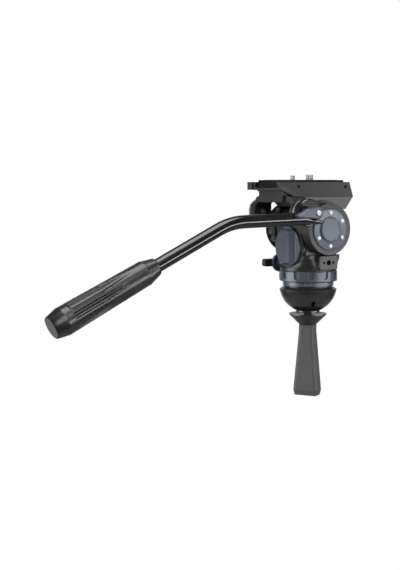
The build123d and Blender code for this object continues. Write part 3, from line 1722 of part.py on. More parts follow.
with BuildPart() as plate_lock_lever:
    with BuildSketch(level(lever_bottom)):
        with Locations((arm_middle_x, -clamp_pivot_back)):
            Circle(clamp_hub_radius)
        with Locations((arm_middle_x - clamp_arm_offset, -(clamp_arm_end + clamp_pivot_back) / 2)):
            RectangleRounded(clamp_arm_width, clamp_arm_end - clamp_pivot_back, clamp_arm_edge)
        with Locations((clamp_pivot_x, -clamp_pivot_back)):
            Circle(clamp_pin_radius + fit_play, mode=Mode.SUBTRACT)
    extrude(amount=cradle_top - lever_bottom)
plate_lock_lever.part.label = "plate_lock_lever"
export_step(plate_lock_lever.part, "parts/plate_lock_lever.step")

with BuildPart() as plate_lock_pin:
    with BuildSketch(level(shelf_under)):
        with Locations((clamp_pivot_x, -clamp_pivot_back)):
            Circle(clamp_pin_radius)
    extrude(amount=cradle_top + screw_play - shelf_under)
    with BuildSketch(level(cradle_top + screw_play)):
        with Locations((clamp_pivot_x, -clamp_pivot_back)):
            Circle(clamp_pin_head_radius)
    extrude(amount=clamp_pin_head_height)
plate_lock_pin.part.label = "plate_lock_pin"
export_step(plate_lock_pin.part, "parts/plate_lock_pin.step")


# Pan bar: a forged socket with a toothed eye, a bent tube and a rubber grip

slope_along = (0, -cos(radians(bar_slope)), -sin(radians(bar_slope)))
bar_radius = bar_diameter / 2
bar_inner_radius = bar_radius - bar_wall
grip_run = (grip_start_back - bar_bend_back) / cos(radians(bar_slope))
upper_run = sqrt((bar_bend_back - bar_start_back) ** 2 + (bar_start_height - bar_bend_height) ** 2)
upper_along = (
    0,
    -(bar_bend_back - bar_start_back) / upper_run,
    -(bar_start_height - bar_bend_height) / upper_run,
)
bar_start = Plane(
    origin=(bar_line, -bar_start_back, bar_start_height),
    x_dir=(1, 0, 0),
    z_dir=upper_along,
)


def on_bar(run):
    """A point of the sloping bar axis, measured from the bend's corner."""
    return (
        bar_line,
        -bar_bend_back + run * slope_along[1],
        bar_bend_height + run * slope_along[2],
    )


with BuildPart() as bar_socket:
    with BuildSketch(facing_right(eye_start)):
        with Locations((-rosette_back, rosette_height)):
            Circle(eye_radius)
    extrude(amount=eye_face - eye_start)
    chamfer(bar_socket.faces().sort_by(Axis.X)[-1].edges(), eye_edge)
    with BuildSketch(facing_right(toothed_face)):
        with Locations((-rosette_back, rosette_height)):
            Circle(rosette_radius)
    extrude(amount=rosette_thickness - fit_play)
    with BuildSketch(facing_right(toothed_face)):
        with Locations((-rosette_back, rosette_height)):
            Circle(eye_hub_radius)
    extrude(amount=eye_start - toothed_face)
    # room behind the seam for the tube
    with BuildSketch(bar_start):
        Circle(bar_radius + fit_play)
    extrude(amount=eye_radius, mode=Mode.SUBTRACT)
    # barrel: round where the tube starts, low and narrow at the nose
    with BuildSketch(bar_start):
        RectangleRounded(bar_diameter, bar_diameter, bar_radius - fit_play)
    with BuildSketch(
        Plane(
            origin=(bar_nose_x, -bar_nose_back, bar_nose_height),
            x_dir=(1, 0, 0),
            z_dir=upper_along,
        )
    ):
        RectangleRounded(bar_nose_width, bar_nose_depth, bar_nose_depth / 2 - fit_play)
    loft(ruled=True)
    # plug that the tube is pressed on
    with BuildSketch(bar_start):
        Circle(bar_inner_radius)
    extrude(amount=bar_plug_length)
    # flat seat for the clamp lever's hub, and the bolt hole
    with BuildSketch(facing_right(eye_face)):
        with Locations((-rosette_back, rosette_height)):
            Circle(spot_radius)
    extrude(amount=lever_face - eye_face, mode=Mode.SUBTRACT)
    with BuildSketch(facing_right(toothed_face)):
        with Locations((-rosette_back, rosette_height)):
            Circle(clamp_bolt_radius + screw_play)
    extrude(amount=eye_face - toothed_face, mode=Mode.SUBTRACT)
    for i in range(rosette_tooth_count):
        turn = radians(i * 360 / rosette_tooth_count)
        along = (0, cos(turn), sin(turn))
        tooth_plane = Plane(
            origin=(toothed_face, -rosette_back, rosette_height),
            x_dir=(-1, 0, 0),
            z_dir=along,
        )
        with BuildSketch(tooth_plane):
            with BuildLine():
                Polyline(
                    (-rosette_tooth_depth, 0),
                    (0, rosette_tooth_width / 2),
                    (cut_over, rosette_tooth_width / 2),
                    (cut_over, -rosette_tooth_width / 2),
                    (0, -rosette_tooth_width / 2),
                    close=True,
                )
            make_face()
        extrude(amount=rosette_radius + cut_over, mode=Mode.SUBTRACT)
bar_socket.part.label = "bar_socket"
export_step(bar_socket.part, "parts/bar_socket.step")

with BuildPart() as pan_bar_tube:
    with BuildLine() as bar_path:
        FilletPolyline(
            (bar_line, -bar_start_back, bar_start_height),
            (bar_line, -bar_bend_back, bar_bend_height),
            on_bar(grip_run + bar_in_grip),
            radius=bar_bend_radius,
        )
    with BuildSketch(Plane(origin=bar_path.line @ 0, x_dir=(1, 0, 0), z_dir=bar_path.line % 0)):
        Circle(bar_radius)
        Circle(bar_inner_radius, mode=Mode.SUBTRACT)
    sweep(path=bar_path.line)
pan_bar_tube.part.label = "pan_bar_tube"
export_step(pan_bar_tube.part, "parts/pan_bar_tube.step")

# The grip is drawn along its own axis: x runs back along the bar
grip_frame = Plane(origin=on_bar(grip_run), x_dir=slope_along, z_dir=(-1, 0, 0))
grip_axis = Axis(on_bar(grip_run), slope_along)


def along_grip(run, degrees, radius):
    """Plane square to the grip's radius at an angle round it, facing out."""
    across = (1, 0, 0)
    upward = (0, slope_along[2], -slope_along[1])
    out = tuple(cos(radians(degrees)) * u + sin(radians(degrees)) * a for u, a in zip(upward, across))
    base = on_bar(grip_run + run)
    return Plane(
        origin=tuple(b + radius * o for b, o in zip(base, out)),
        x_dir=slope_along,
        z_dir=out,
    )


with BuildPart() as bar_grip:
    with BuildSketch(grip_frame):
        with BuildLine():
            Polyline(
                (0, bar_radius),
                (0, grip_front_radius),
                (grip_shoulder, grip_shoulder_radius),
                (grip_rear_shoulder, grip_rear_radius),
                (grip_length, grip_end_radius),
                (grip_length, 0),
                (bar_in_grip, 0),
                (bar_in_grip, bar_radius),
                close=True,
            )
        make_face()
    revolve(axis=grip_axis)
    # broad finger flutes with three fine grooves between each pair
    flute_middle = (grip_flute_start + grip_flute_end) / 2
    flute_length = grip_flute_end - grip_flute_start
    flute_seat = (grip_shoulder_radius + grip_rear_radius) / 2
    flute_clearance = cut_over + grip_rear_radius - grip_shoulder_radius
    first_groove = 180 / grip_flute_count - (grip_groove_count - 1) / 2 * grip_groove_pitch
    for i in range(grip_flute_count):
        flute_turn = i * 360 / grip_flute_count
        with BuildSketch(along_grip(flute_middle, flute_turn, flute_seat - grip_flute_depth)):
            SlotOverall(flute_length, grip_flute_radius)
        extrude(amount=grip_flute_depth + flute_clearance, mode=Mode.SUBTRACT)
        for j in range(grip_groove_count):
            groove_turn = flute_turn + first_groove + j * grip_groove_pitch
            with BuildSketch(along_grip(flute_middle, groove_turn, flute_seat - grip_groove_depth)):
                Rectangle(flute_length, grip_groove_width)
            extrude(amount=grip_groove_depth + flute_clearance, mode=Mode.SUBTRACT)
    # seat of the end cap
    with BuildSketch(Plane(origin=on_bar(grip_run + grip_length), x_dir=(1, 0, 0), z_dir=slope_along)):
        Circle(grip_cap_radius)
    extrude(amount=-(grip_cap_thickness - grip_cap_proud), mode=Mode.SUBTRACT)
bar_grip.part.label = "bar_grip"
export_step(bar_grip.part, "parts/bar_grip.step")

with BuildPart() as grip_end_cap:
    with BuildSketch(
        Plane(
            origin=on_bar(grip_run + grip_length + grip_cap_proud),
            x_dir=(1, 0, 0),
            z_dir=slope_along,
        )
    ):
        Circle(grip_cap_radius)
    extrude(amount=-grip_cap_thickness)
grip_end_cap.part.label = "grip_end_cap"
export_step(grip_end_cap.part, "parts/grip_end_cap.step")


# Clamp lever: a round hub on the eye's seat and a boat-shaped blade

hub_seat = eye_face + hub_spacer_gap

with BuildPart() as bar_clamp_lever:
    with BuildSketch(facing_right(hub_seat)):
        with Locations((-rosette_back, rosette_height)):
            Circle(lever_hub_radius)
    extrude(amount=lever_start - hub_seat)
    with BuildSketch(facing_right(lever_start)):
        with Locations((-rosette_back, rosette_height)):
            Circle(lever_hub_radius)
        with Locations((-(rosette_back + lever_straight), rosette_height)):
            Circle(lever_hub_radius - lever_tip_radius)
        with Locations((-(rosette_back + lever_reach), rosette_height - lever_drop)):
            Circle(lever_tip_radius)
        make_hull()
    extrude(amount=lever_face - lever_start)
    chamfer(bar_clamp_lever.faces().sort_by(Axis.X)[-1].edges(), lever_edge)
    with BuildSketch(facing_right(lever_face)):
        with Locations((-rosette_back, rosette_height)):
            Circle(lever_recess_radius)
    extrude(amount=-lever_recess_depth, mode=Mode.SUBTRACT)
    with BuildSketch(facing_right(hub_seat)):
        with Locations((-rosette_back, rosette_height)):
            Circle(clamp_bolt_radius)
    extrude(amount=lever_face - hub_seat, mode=Mode.SUBTRACT)
bar_clamp_lever.part.label = "bar_clamp_lever"
export_step(bar_clamp_lever.part, "parts/bar_clamp_lever.step")

with BuildPart() as bar_clamp_bolt:
    with BuildSketch(facing_right(right_boss_start + boss_recess_depth)):
        with Locations((-rosette_back, rosette_height)):
            Circle(clamp_bolt_radius - thread_play)
    extrude(amount=hub_seat - right_boss_start - boss_recess_depth)
    with BuildSketch(facing_right(hub_seat)):
        with Locations((-rosette_back, rosette_height)):
            Circle(clamp_bolt_radius)
    extrude(amount=lever_face - lever_recess_depth - hub_seat)
bar_clamp_bolt.part.label = "bar_clamp_bolt"
export_step(bar_clamp_bolt.part, "parts/bar_clamp_bolt.step")

with BuildPart() as bar_clamp_screw:
    with BuildSketch(facing_right(lever_face - lever_recess_depth)):
        with Locations((-rosette_back, rosette_height)):
            Circle(lever_screw_head_radius)
    extrude(amount=lever_recess_depth + lever_screw_proud)
    chamfer(bar_clamp_screw.faces().sort_by(Axis.X)[-1].edges(), lever_edge / 2)
bar_clamp_screw.part.label = "bar_clamp_screw"
export_step(bar_clamp_screw.part, "parts/bar_clamp_screw.step")
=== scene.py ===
# %% [markdown]
# # A fluid video head on a 75 mm half ball
#
# The metal parts of this head come from a CAD model. This lesson dresses them: it sets the camera and
# the light, mixes a finish for every surface, and builds the few pieces that a CAD model keeps simple,
# such as screw threads, a rubber grip and a spirit level. Blender works in metres here, and the sizes of
# the new pieces are written in mm. +Z is up, +Y is where the lens looks, +X is the operator's right, and
# the origin is the centre of the ball.

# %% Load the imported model
import json
from math import cos, pi, radians, sin, tau

import bmesh
import bpy
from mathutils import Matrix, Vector

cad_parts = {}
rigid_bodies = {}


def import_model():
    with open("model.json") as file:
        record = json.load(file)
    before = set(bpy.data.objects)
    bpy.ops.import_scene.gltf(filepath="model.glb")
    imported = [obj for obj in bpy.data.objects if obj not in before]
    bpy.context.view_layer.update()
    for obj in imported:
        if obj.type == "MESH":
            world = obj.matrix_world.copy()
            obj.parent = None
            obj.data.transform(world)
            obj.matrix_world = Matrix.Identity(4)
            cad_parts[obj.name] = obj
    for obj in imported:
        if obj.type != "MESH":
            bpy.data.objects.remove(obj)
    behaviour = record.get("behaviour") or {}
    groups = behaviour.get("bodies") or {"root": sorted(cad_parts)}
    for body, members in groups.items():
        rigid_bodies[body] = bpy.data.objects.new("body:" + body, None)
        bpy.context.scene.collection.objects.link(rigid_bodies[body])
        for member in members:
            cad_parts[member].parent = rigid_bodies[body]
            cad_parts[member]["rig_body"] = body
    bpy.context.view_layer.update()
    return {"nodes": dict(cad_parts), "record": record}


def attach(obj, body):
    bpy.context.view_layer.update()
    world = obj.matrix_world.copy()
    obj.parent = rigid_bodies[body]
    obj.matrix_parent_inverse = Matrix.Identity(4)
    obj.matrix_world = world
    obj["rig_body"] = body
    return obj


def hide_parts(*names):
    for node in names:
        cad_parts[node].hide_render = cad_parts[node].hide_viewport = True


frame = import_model()
node = frame["nodes"]
scene = bpy.context.scene
scene.view_settings.view_transform = "Standard"
mm = 0.001

# %% [markdown]
# ## The camera
#
# The picture is taken from the right and behind, about 1.5 m away, a little above the head. A portrait
# lens keeps the proportions natural. The camera's place, turn and drop were fitted to the photograph.

# %% The camera's place, angle and lens
view_turn = radians(58.8)
view_drop = radians(5.1)
camera_place = Vector((1.1970, -0.8889, 0.1308))
lens_length = 72.5
film_height = 36.0

camera_data = bpy.data.cameras.new("camera")
camera_data.lens = lens_length
camera_data.sensor_fit = "VERTICAL"
camera_data.sensor_height = film_height
camera_data.clip_start = 0.05
camera_data.clip_end = 50
camera = bpy.data.objects.new("camera", camera_data)
camera.location = camera_place
camera.rotation_euler = (radians(90) - view_drop, 0, view_turn)
scene.collection.objects.link(camera)
scene.camera = camera
print("the camera stands", round(camera_place.length, 3), "m from the ball's centre")

# %% [markdown]
# ## The studio
#
# The head stands in front of white paper that runs under it and up behind it. A world that is white on
# all sides would be simpler, but black paint mirrors what stands before it and turns a flat grey. So the
# world is white for the camera and for glass, and for gloss it is white where the paper is, behind the
# head, pale overhead, and dim on the camera's side, as in a real studio.

# %% Two helpers for node trees
def add_nodes(tree, *kinds):
    """Adds shader nodes of these kinds to a node tree and gives them back."""
    return [tree.nodes.new(kind) for kind in kinds]


def connect(tree, *pairs):
    """Links each pair of an output and an input."""
    for output, target in pairs:
        tree.links.new(output, target)


# %% White paper behind, a dim room in front
backwards = Vector((-cos(radians(90) - view_turn), sin(radians(90) - view_turn), 0))
room_strength = 0.08
ceiling_strength = 0.15
ceiling_edge = 0.1
paper_edge = 0.7

world = bpy.data.worlds.new("studio")
scene.world = world
world.use_nodes = True
tree = world.node_tree
tree.nodes.clear()
paths, direction, facing, behind, split, height, paper_or_ceiling = add_nodes(
    tree, "ShaderNodeLightPath", "ShaderNodeTexCoord", "ShaderNodeVectorMath", "ShaderNodeMapRange",
    "ShaderNodeSeparateXYZ", "ShaderNodeMapRange", "ShaderNodeMath")
gloss, white, lit, room, glow, out = add_nodes(
    tree, "ShaderNodeMath", "ShaderNodeMath", "ShaderNodeMath", "ShaderNodeMath", "ShaderNodeBackground",
    "ShaderNodeOutputWorld")
facing.operation = "DOT_PRODUCT"
facing.inputs[1].default_value = backwards
behind.inputs["From Min"].default_value = paper_edge
behind.inputs["From Max"].default_value = 1.0
height.inputs["From Min"].default_value = ceiling_edge
height.inputs["To Max"].default_value = ceiling_strength
gloss.operation = "MULTIPLY"
for brightest in (paper_or_ceiling, white, lit, room):
    brightest.operation = "MAXIMUM"
room.inputs[1].default_value = room_strength
glow.inputs["Color"].default_value = (1, 1, 1, 1)
connect(tree,
        (direction.outputs["Generated"], facing.inputs[0]),
        (facing.outputs["Value"], behind.inputs["Value"]),
        (direction.outputs["Generated"], split.inputs[0]),
        (split.outputs["Z"], height.inputs["Value"]),
        (behind.outputs[0], paper_or_ceiling.inputs[0]),
        (height.outputs[0], paper_or_ceiling.inputs[1]),
        (paper_or_ceiling.outputs[0], gloss.inputs[0]),
        (paths.outputs["Is Glossy Ray"], gloss.inputs[1]),
        (paths.outputs["Is Camera Ray"], white.inputs[0]),
        (paths.outputs["Is Transmission Ray"], white.inputs[1]),
        (white.outputs[0], lit.inputs[0]),
        (gloss.outputs[0], lit.inputs[1]),
        (lit.outputs[0], room.inputs[0]),
        (room.outputs[0], glow.inputs["Strength"]),
        (glow.outputs[0], out.inputs["Surface"]))

# %% The paper floor
floor_height = -0.42
floor_front, floor_back, floor_side = -0.45, 0.7, 0.6
paper_grey, paper_glow, glow_share = 0.35, 1.05, 0.95
sideways = backwards.cross(Vector((0, 0, 1)))
floor_mesh = bpy.data.meshes.new("floor")
floor_mesh.from_pydata(
    [run * backwards + side * sideways + Vector((0, 0, floor_height))
     for run, side in ((floor_front, -floor_side), (floor_front, floor_side),
                       (floor_back, floor_side), (floor_back, -floor_side))],
    [], [(0, 1, 2, 3)])
floor = bpy.data.objects.new("floor", floor_mesh)
scene.collection.objects.link(floor)
paper = bpy.data.materials.new("floor_paper")
paper.use_nodes = True
tree = paper.node_tree
tree.nodes.clear()
paths, seen, matt, glow, mix, out = add_nodes(
    tree, "ShaderNodeLightPath", "ShaderNodeMath", "ShaderNodeBsdfDiffuse", "ShaderNodeEmission",
    "ShaderNodeMixShader", "ShaderNodeOutputMaterial")
matt.inputs["Color"].default_value = (paper_grey, paper_grey, paper_grey, 1)
glow.inputs["Color"].default_value = (1, 1, 1, 1)
glow.inputs["Strength"].default_value = paper_glow
seen.operation = "MULTIPLY"
seen.inputs[1].default_value = glow_share
connect(tree,
        (paths.outputs["Is Camera Ray"], seen.inputs[0]),
        (seen.outputs[0], mix.inputs[0]),
        (matt.outputs[0], mix.inputs[1]),
        (glow.outputs[0], mix.inputs[2]),
        (mix.outputs[0], out.inputs["Surface"]))
floor_mesh.materials.append(paper)

# %% [markdown]
# Five soft boxes light the head. Black paint shows little of its own colour, so each box is placed where
# the faces that should look light mirror it towards the camera. A long low strip on the right draws the
# highlight on the pan bar, a box above it lights the leaning side of the cradle, a soft fill near the
# camera and a large box on the left shape the knobs and the ball, and one overhead lights the tops.

# %% Soft boxes
head_middle = Vector((0, -0.06, 0.04))


def softbox(name, turn, rise, distance, width, height, power):
    """An area light at an angle round the head, aimed at the middle of the head."""
    light = bpy.data.lights.new(name, "AREA")
    light.shape = "RECTANGLE"
    light.size = width
    light.size_y = height
    light.energy = power
    lamp = bpy.data.objects.new(name, light)
    turn, rise = radians(turn), radians(rise)
    towards_lamp = Vector((sin(turn) * cos(rise), -cos(turn) * cos(rise), sin(rise)))
    lamp.location = head_middle + distance * towards_lamp
    lamp.rotation_euler = (head_middle - lamp.location).to_track_quat("-Z", "Y").to_euler()
    scene.collection.objects.link(lamp)


softbox("low_right_strip", turn=122, rise=-7, distance=1.6, width=1.8, height=0.34, power=10.5)
softbox("high_right_light", turn=150, rise=24, distance=1.6, width=0.9, height=0.6, power=4.5)
softbox("fill_light", turn=70, rise=26, distance=1.7, width=1.0, height=1.0, power=9)
softbox("left_light", turn=-22, rise=4, distance=1.6, width=1.2, height=1.3, power=22)
softbox("top_light", turn=60, rise=80, distance=1.4, width=1.2, height=1.0, power=13)

# %% [markdown]
# ## Finishes
#
# Every finish starts from the same recipe. A fine noise makes the grain of the surface as a bump, a
# broad noise varies its colour and its gloss a little, and a bevel node rounds the sharp CAD edges in the
# shading. The edges also get a painted highlight: the base colour is made lighter where the rounded
# normal leans away from the face, standing in for light that the edges catch. Each real finish then
# only states its own colour, gloss and grain.

# %% A recipe for finishes
finishes = {}
cloud_scale, noise_detail = 45, 3
cloud_low, cloud_high = 0.3, 0.7
gloss_swing = 0.1
# How much lighter the painted edge highlight makes the colour, and where on an edge it starts and is
# full.
edge_highlight_lift = 0.9
edge_from, edge_to = 0.995, 0.85


def shade(colour, share):
    """The colour made lighter or darker by a share of itself."""
    return tuple(min(1.0, c * (1 + share)) for c in colour) + (1,)


def finish(name, colour, gloss, grain_size, grain_depth, mottling=0.12, edge_width=0.6 * mm,
           metallic=0.0, specular=0.5, transmission=0.0):
    """Adds a material with grain, mottled colour, varied gloss and a painted highlight on its edges."""
    finishes[name] = bpy.data.materials.new(name)
    finishes[name].use_nodes = True
    tree = finishes[name].node_tree
    surface = tree.nodes["Principled BSDF"]
    surface.inputs["Metallic"].default_value = metallic
    surface.inputs["Specular IOR Level"].default_value = specular
    surface.inputs["Transmission Weight"].default_value = transmission
    place, grain, cloud, tint, shine, rounded, bump, plain, facing, edge_highlight_mask, edge_highlight_paint = add_nodes(
        tree, "ShaderNodeTexCoord", "ShaderNodeTexNoise", "ShaderNodeTexNoise", "ShaderNodeMix",
        "ShaderNodeMapRange", "ShaderNodeBevel", "ShaderNodeBump", "ShaderNodeNewGeometry",
        "ShaderNodeVectorMath", "ShaderNodeMapRange", "ShaderNodeMix")
    for texture, scale in ((grain, 1 / grain_size), (cloud, cloud_scale)):
        texture.inputs["Scale"].default_value = scale
        texture.inputs["Detail"].default_value = noise_detail
        connect(tree, (place.outputs["Object"], texture.inputs["Vector"]))
    tint.data_type = "RGBA"
    tint.inputs["A"].default_value = shade(colour, -mottling)
    tint.inputs["B"].default_value = shade(colour, mottling)
    shine.inputs["From Min"].default_value = cloud_low
    shine.inputs["From Max"].default_value = cloud_high
    shine.inputs["To Min"].default_value = gloss * (1 - gloss_swing)
    shine.inputs["To Max"].default_value = gloss * (1 + gloss_swing)
    rounded.samples = 4
    rounded.inputs["Radius"].default_value = edge_width
    bump.inputs["Strength"].default_value = 1.0
    bump.inputs["Distance"].default_value = grain_depth
    # Painted highlight: where the bevel's rounded normal leans away from the face, the base colour is
    # mixed towards a lighter copy of itself.
    facing.operation = "DOT_PRODUCT"
    edge_highlight_mask.inputs["From Min"].default_value = edge_from
    edge_highlight_mask.inputs["From Max"].default_value = edge_to
    edge_highlight_paint.data_type = "RGBA"
    edge_highlight_paint.inputs["B"].default_value = shade(colour, edge_highlight_lift)
    connect(tree,
            (cloud.outputs["Fac"], tint.inputs["Factor"]),
            (cloud.outputs["Fac"], shine.inputs["Value"]),
            (shine.outputs["Result"], surface.inputs["Roughness"]),
            (grain.outputs["Fac"], bump.inputs["Height"]),
            (rounded.outputs["Normal"], bump.inputs["Normal"]),
            (bump.outputs["Normal"], surface.inputs["Normal"]),
            (rounded.outputs["Normal"], facing.inputs[0]),
            (plain.outputs["Normal"], facing.inputs[1]),
            (facing.outputs["Value"], edge_highlight_mask.inputs["Value"]),
            (edge_highlight_mask.outputs["Result"], edge_highlight_paint.inputs["Factor"]),
            (tint.outputs["Result"], edge_highlight_paint.inputs["A"]),
            (edge_highlight_paint.outputs["Result"], surface.inputs["Base Color"]))


# %% Painted and anodised metal
finish("cast_black", (0.023, 0.023, 0.024), 0.33, 0.35 * mm, 0.0015 * mm)
finish("gloss_black", (0.017, 0.017, 0.018), 0.30, 0.5 * mm, 0.0003 * mm, edge_width=0.3 * mm,
       specular=0.9)
finish("accent_blue", (0.100, 0.113, 0.145), 0.30, 0.3 * mm, 0.001 * mm, metallic=0.3)
finish("bar_black", (0.004, 0.004, 0.005), 0.16, 0.4 * mm, 0.0002 * mm, edge_width=0, specular=1.0)

# %% Bare metal
finish("screw_steel", (0.60, 0.57, 0.50), 0.42, 0.3 * mm, 0.001 * mm, mottling=0.05, metallic=1.0)
finish("bright_nickel", (0.90, 0.90, 0.90), 0.5, 0.3 * mm, 0.001 * mm, mottling=0.03, metallic=0.6)
finish("rosette_steel", (0.62, 0.62, 0.63), 0.3, 0.25 * mm, 0.006 * mm, mottling=0.08, metallic=1.0)
finish("spindle_steel", (0.42, 0.43, 0.45), 0.32, 0.25 * mm, 0.006 * mm, mottling=0.08, metallic=1.0)
finish("spring_steel", (0.28, 0.29, 0.32), 0.28, 0.25 * mm, 0.004 * mm, mottling=0.08, metallic=1.0)
finish("bronze", (0.34, 0.25, 0.13), 0.42, 0.2 * mm, 0.008 * mm, mottling=0.1, metallic=1.0)

# %% Plastic, rubber, glass and paint
finish("handle_plastic", (0.102, 0.102, 0.104), 0.45, 0.45 * mm, 0.003 * mm, specular=0.35)
finish("lever_black", (0.024, 0.024, 0.025), 0.36, 0.4 * mm, 0.002 * mm)
finish("grip_rubber", (0.008, 0.008, 0.008), 0.30, 0.25 * mm, 0.0005 * mm, edge_width=0, specular=1.0)
finish("pad_rubber", (0.040, 0.040, 0.042), 0.7, 0.3 * mm, 0.03 * mm)
finish("cap_grey", (0.130, 0.130, 0.132), 0.5, 0.4 * mm, 0.01 * mm)
finish("vial_glass", (0.62, 0.80, 0.20), 0.05, 1.0 * mm, 0.0 * mm, mottling=0.03, transmission=0.6)
finish("bubble_white", (0.86, 0.93, 0.62), 0.12, 1.0 * mm, 0.0 * mm, mottling=0.03)
finish("mark_grey", (0.42, 0.43, 0.45), 0.6, 0.4 * mm, 0.004 * mm, mottling=0.08)

# %% Give each CAD node its finish
slot_of = {part["node"]: part["material_slot"] for part in frame["record"]["subparts"]}
for name, slot in slot_of.items():
    for place in node[name].material_slots:
        place.material = finishes[slot]
print("finishes given to", len(slot_of), "nodes")

# %% [markdown]
# ## Pieces with finer shapes
#
# Threads, rubber grooves and domed screws would make a CAD model heavy, so it carries simpler forms in
# their place. The real shapes are made here as meshes. Most of them are turned or drawn pieces, which
# means that a ring of points moves along an axis and changes its radius on the way. One helper joins
# such rings, and another puts the mesh where the simpler CAD piece was.

# %% Rings of points become a mesh
outward = Vector((1, 0, 0))
upright = Vector((0, 0, 1))


def ring_at(centre, across, upward, radii):
    """Points round a centre, one for each radius, from upward towards across."""
    step = tau / len(radii)
    return [centre + radius * (cos(i * step) * upward + sin(i * step) * across)
            for i, radius in enumerate(radii)]


def skin(rings):
    """The points and faces of a closed shape that runs through equal rings."""
    count = len(rings[0])
    points = [point for ring in rings for point in ring]
    faces = [tuple(range(count)), tuple(range(len(points) - count, len(points)))]
    for row in range(len(rings) - 1):
        for i in range(count):
            after = (i + 1) % count
            faces.append((row * count + i, row * count + after,
                          (row + 1) * count + after, (row + 1) * count + i))
    return points, faces


def turned(profile, origin, axis, segments=64):
    """A turned shape: each pair of the profile is a place along the axis and a radius, in mm."""
    origin = Vector(origin) * mm
    upward = Vector((1, 0, 0)) if abs(axis.z) > 0.5 else Vector((0, 0, 1))
    across = axis.cross(upward)
    rings = []
    for place, radius in profile:
        radii = radius if isinstance(radius, list) else [radius] * segments
        rings.append(ring_at(origin + place * mm * axis, across, upward, [r * mm for r in radii]))
    return skin(rings)


# %% A mesh takes the place of a CAD piece, or is added to one
def add_piece(name, shapes, stands_for, sharp_angle=32, material=None, hides=True):
    """One smooth mesh from several closed shapes, riding with the CAD node that it stands for."""
    made = bmesh.new()
    for points, faces in shapes:
        corners = [made.verts.new(point) for point in points]
        for face in faces:
            made.faces.new([corners[i] for i in face])
    bmesh.ops.recalc_face_normals(made, faces=made.faces)
    mesh = bpy.data.meshes.new(name)
    made.to_mesh(mesh)
    made.free()
    mesh.shade_smooth()
    mesh.set_sharp_from_angle(angle=radians(sharp_angle))
    piece = bpy.data.objects.new(name, mesh)
    scene.collection.objects.link(piece)
    mesh.materials.append(finishes[material or slot_of[stands_for]])
    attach(piece, node[stands_for]["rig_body"])
    if hides:
        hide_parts(stands_for)
    print(name, "has", len(mesh.polygons), "faces")
    return piece


# %% [markdown]
# ### The rubber grip
#
# The grip is a moulded rubber sleeve: a short cone at the front, a long barrel that swells towards the
# rear, and a cone at the end. Four wide flutes give the fingers a hold, and three fine grooves run
# between each pair. The flutes and grooves are deep at the rear and fade out towards the front. A
# boolean cut could carve them one by one, but a rule for the radius at each angle and each place along
# the grip gives the fading depth for free. The points stand closest together where the grooves are.

# %% The bar's line
bar_side = 66.0
bar_start = Vector((bar_side, -58.0, 87.0))
bar_corner = Vector((bar_side, -162.0, 84.2))
bar_slope = radians(25.6)
corner_to_grip = 100.0
slope_along = Vector((0, -cos(bar_slope), -sin(bar_slope)))
slope_upward = Vector((0, -sin(bar_slope), cos(bar_slope)))
grip_start = bar_corner + corner_to_grip / cos(bar_slope) * slope_along

# %% The grip's radius at a place and an angle
grip_outline = ((0, 10.1), (0.6, 10.6), (15.5, 14.5), (16.5, 14.9), (17.6, 14.75), (60, 15.4),
                (125, 16.6), (127, 16.75), (129.5, 16.4), (141.6, 13.6), (142.6, 13.1))
flute_count, flute_turn = 4, 33.0
flute_half_angle, flute_deep = 21.0, 3.3
flute_fade_start, flute_fade_length = 24.0, 60.0
groove_pitch, groove_half_angle, groove_deep = 11.0, 2.4, 1.3
groove_fade_start, groove_fade_length, groove_fade_top = 38.0, 45.0, 1.05
cut_end, end_length = 119.0, 4.0
strip_middle = 180 / flute_count
groove_middles = [strip_middle + i * groove_pitch for i in (-1, 0, 1)]


def along_line(table, place):
    """The value at a place on a line through pairs of place and value."""
    for (p0, v0), (p1, v1) in zip(table, table[1:]):
        if place <= p1:
            return v0 + (v1 - v0) * (place - p0) / (p1 - p0)
    return table[-1][1]


def ease(value):
    """Turns 0 to 1 into a soft step."""
    value = max(0.0, min(1.0, value))
    return value * value * (3 - 2 * value)


def cut_depth(off, half_angle, deep, fade, place):
    """Depth of a cut with a round floor that fades at the front and has a round rear end."""
    end = max(0.0, (place - cut_end + end_length) / end_length)
    return deep * max(0.0, fade - (off / half_angle) ** 2 - end ** 2)


def grip_radius(place, off_flute):
    """The grip's radius in mm, at a place along it and an angle from the nearest flute's middle."""
    flute_fade = ease((place - flute_fade_start) / flute_fade_length)
    groove_fade = groove_fade_top * ease((place - groove_fade_start) / groove_fade_length)
    radius = along_line(grip_outline, place)
    radius -= cut_depth(off_flute, flute_half_angle, flute_deep, flute_fade, place)
    for middle in groove_middles:
        radius -= cut_depth(off_flute - middle, groove_half_angle, groove_deep, groove_fade, place)
    return radius


# %% The angles of the grip's points, close together at the grooves
flute_steps = 14
land_after_flute, land_before_flute = [23.5, 27.0], [63.0, 66.5]
angles_in_repeat = [-flute_half_angle + 2 * flute_half_angle * i / flute_steps
                    for i in range(flute_steps + 1)] + land_after_flute
for middle in groove_middles:
    angles_in_repeat += [middle + groove_half_angle * step
                         for step in (-1.3, -1, -0.7, -0.35, 0, 0.35, 0.7, 1, 1.3)]
angles_in_repeat += land_before_flute
grip_angles = [(repeat * 360 / flute_count, off)
               for repeat in range(flute_count) for off in angles_in_repeat]


def grip_ring(place, fixed_radius=None):
    """The points of the grip's skin at a place along it."""
    ring = []
    for start, off in grip_angles:
        turn = radians(flute_turn + start + off)
        radius = fixed_radius or grip_radius(place, off)
        ring.append((grip_start + place * slope_along
                     + radius * (cos(turn) * slope_upward + sin(turn) * outward)) * mm)
    return ring


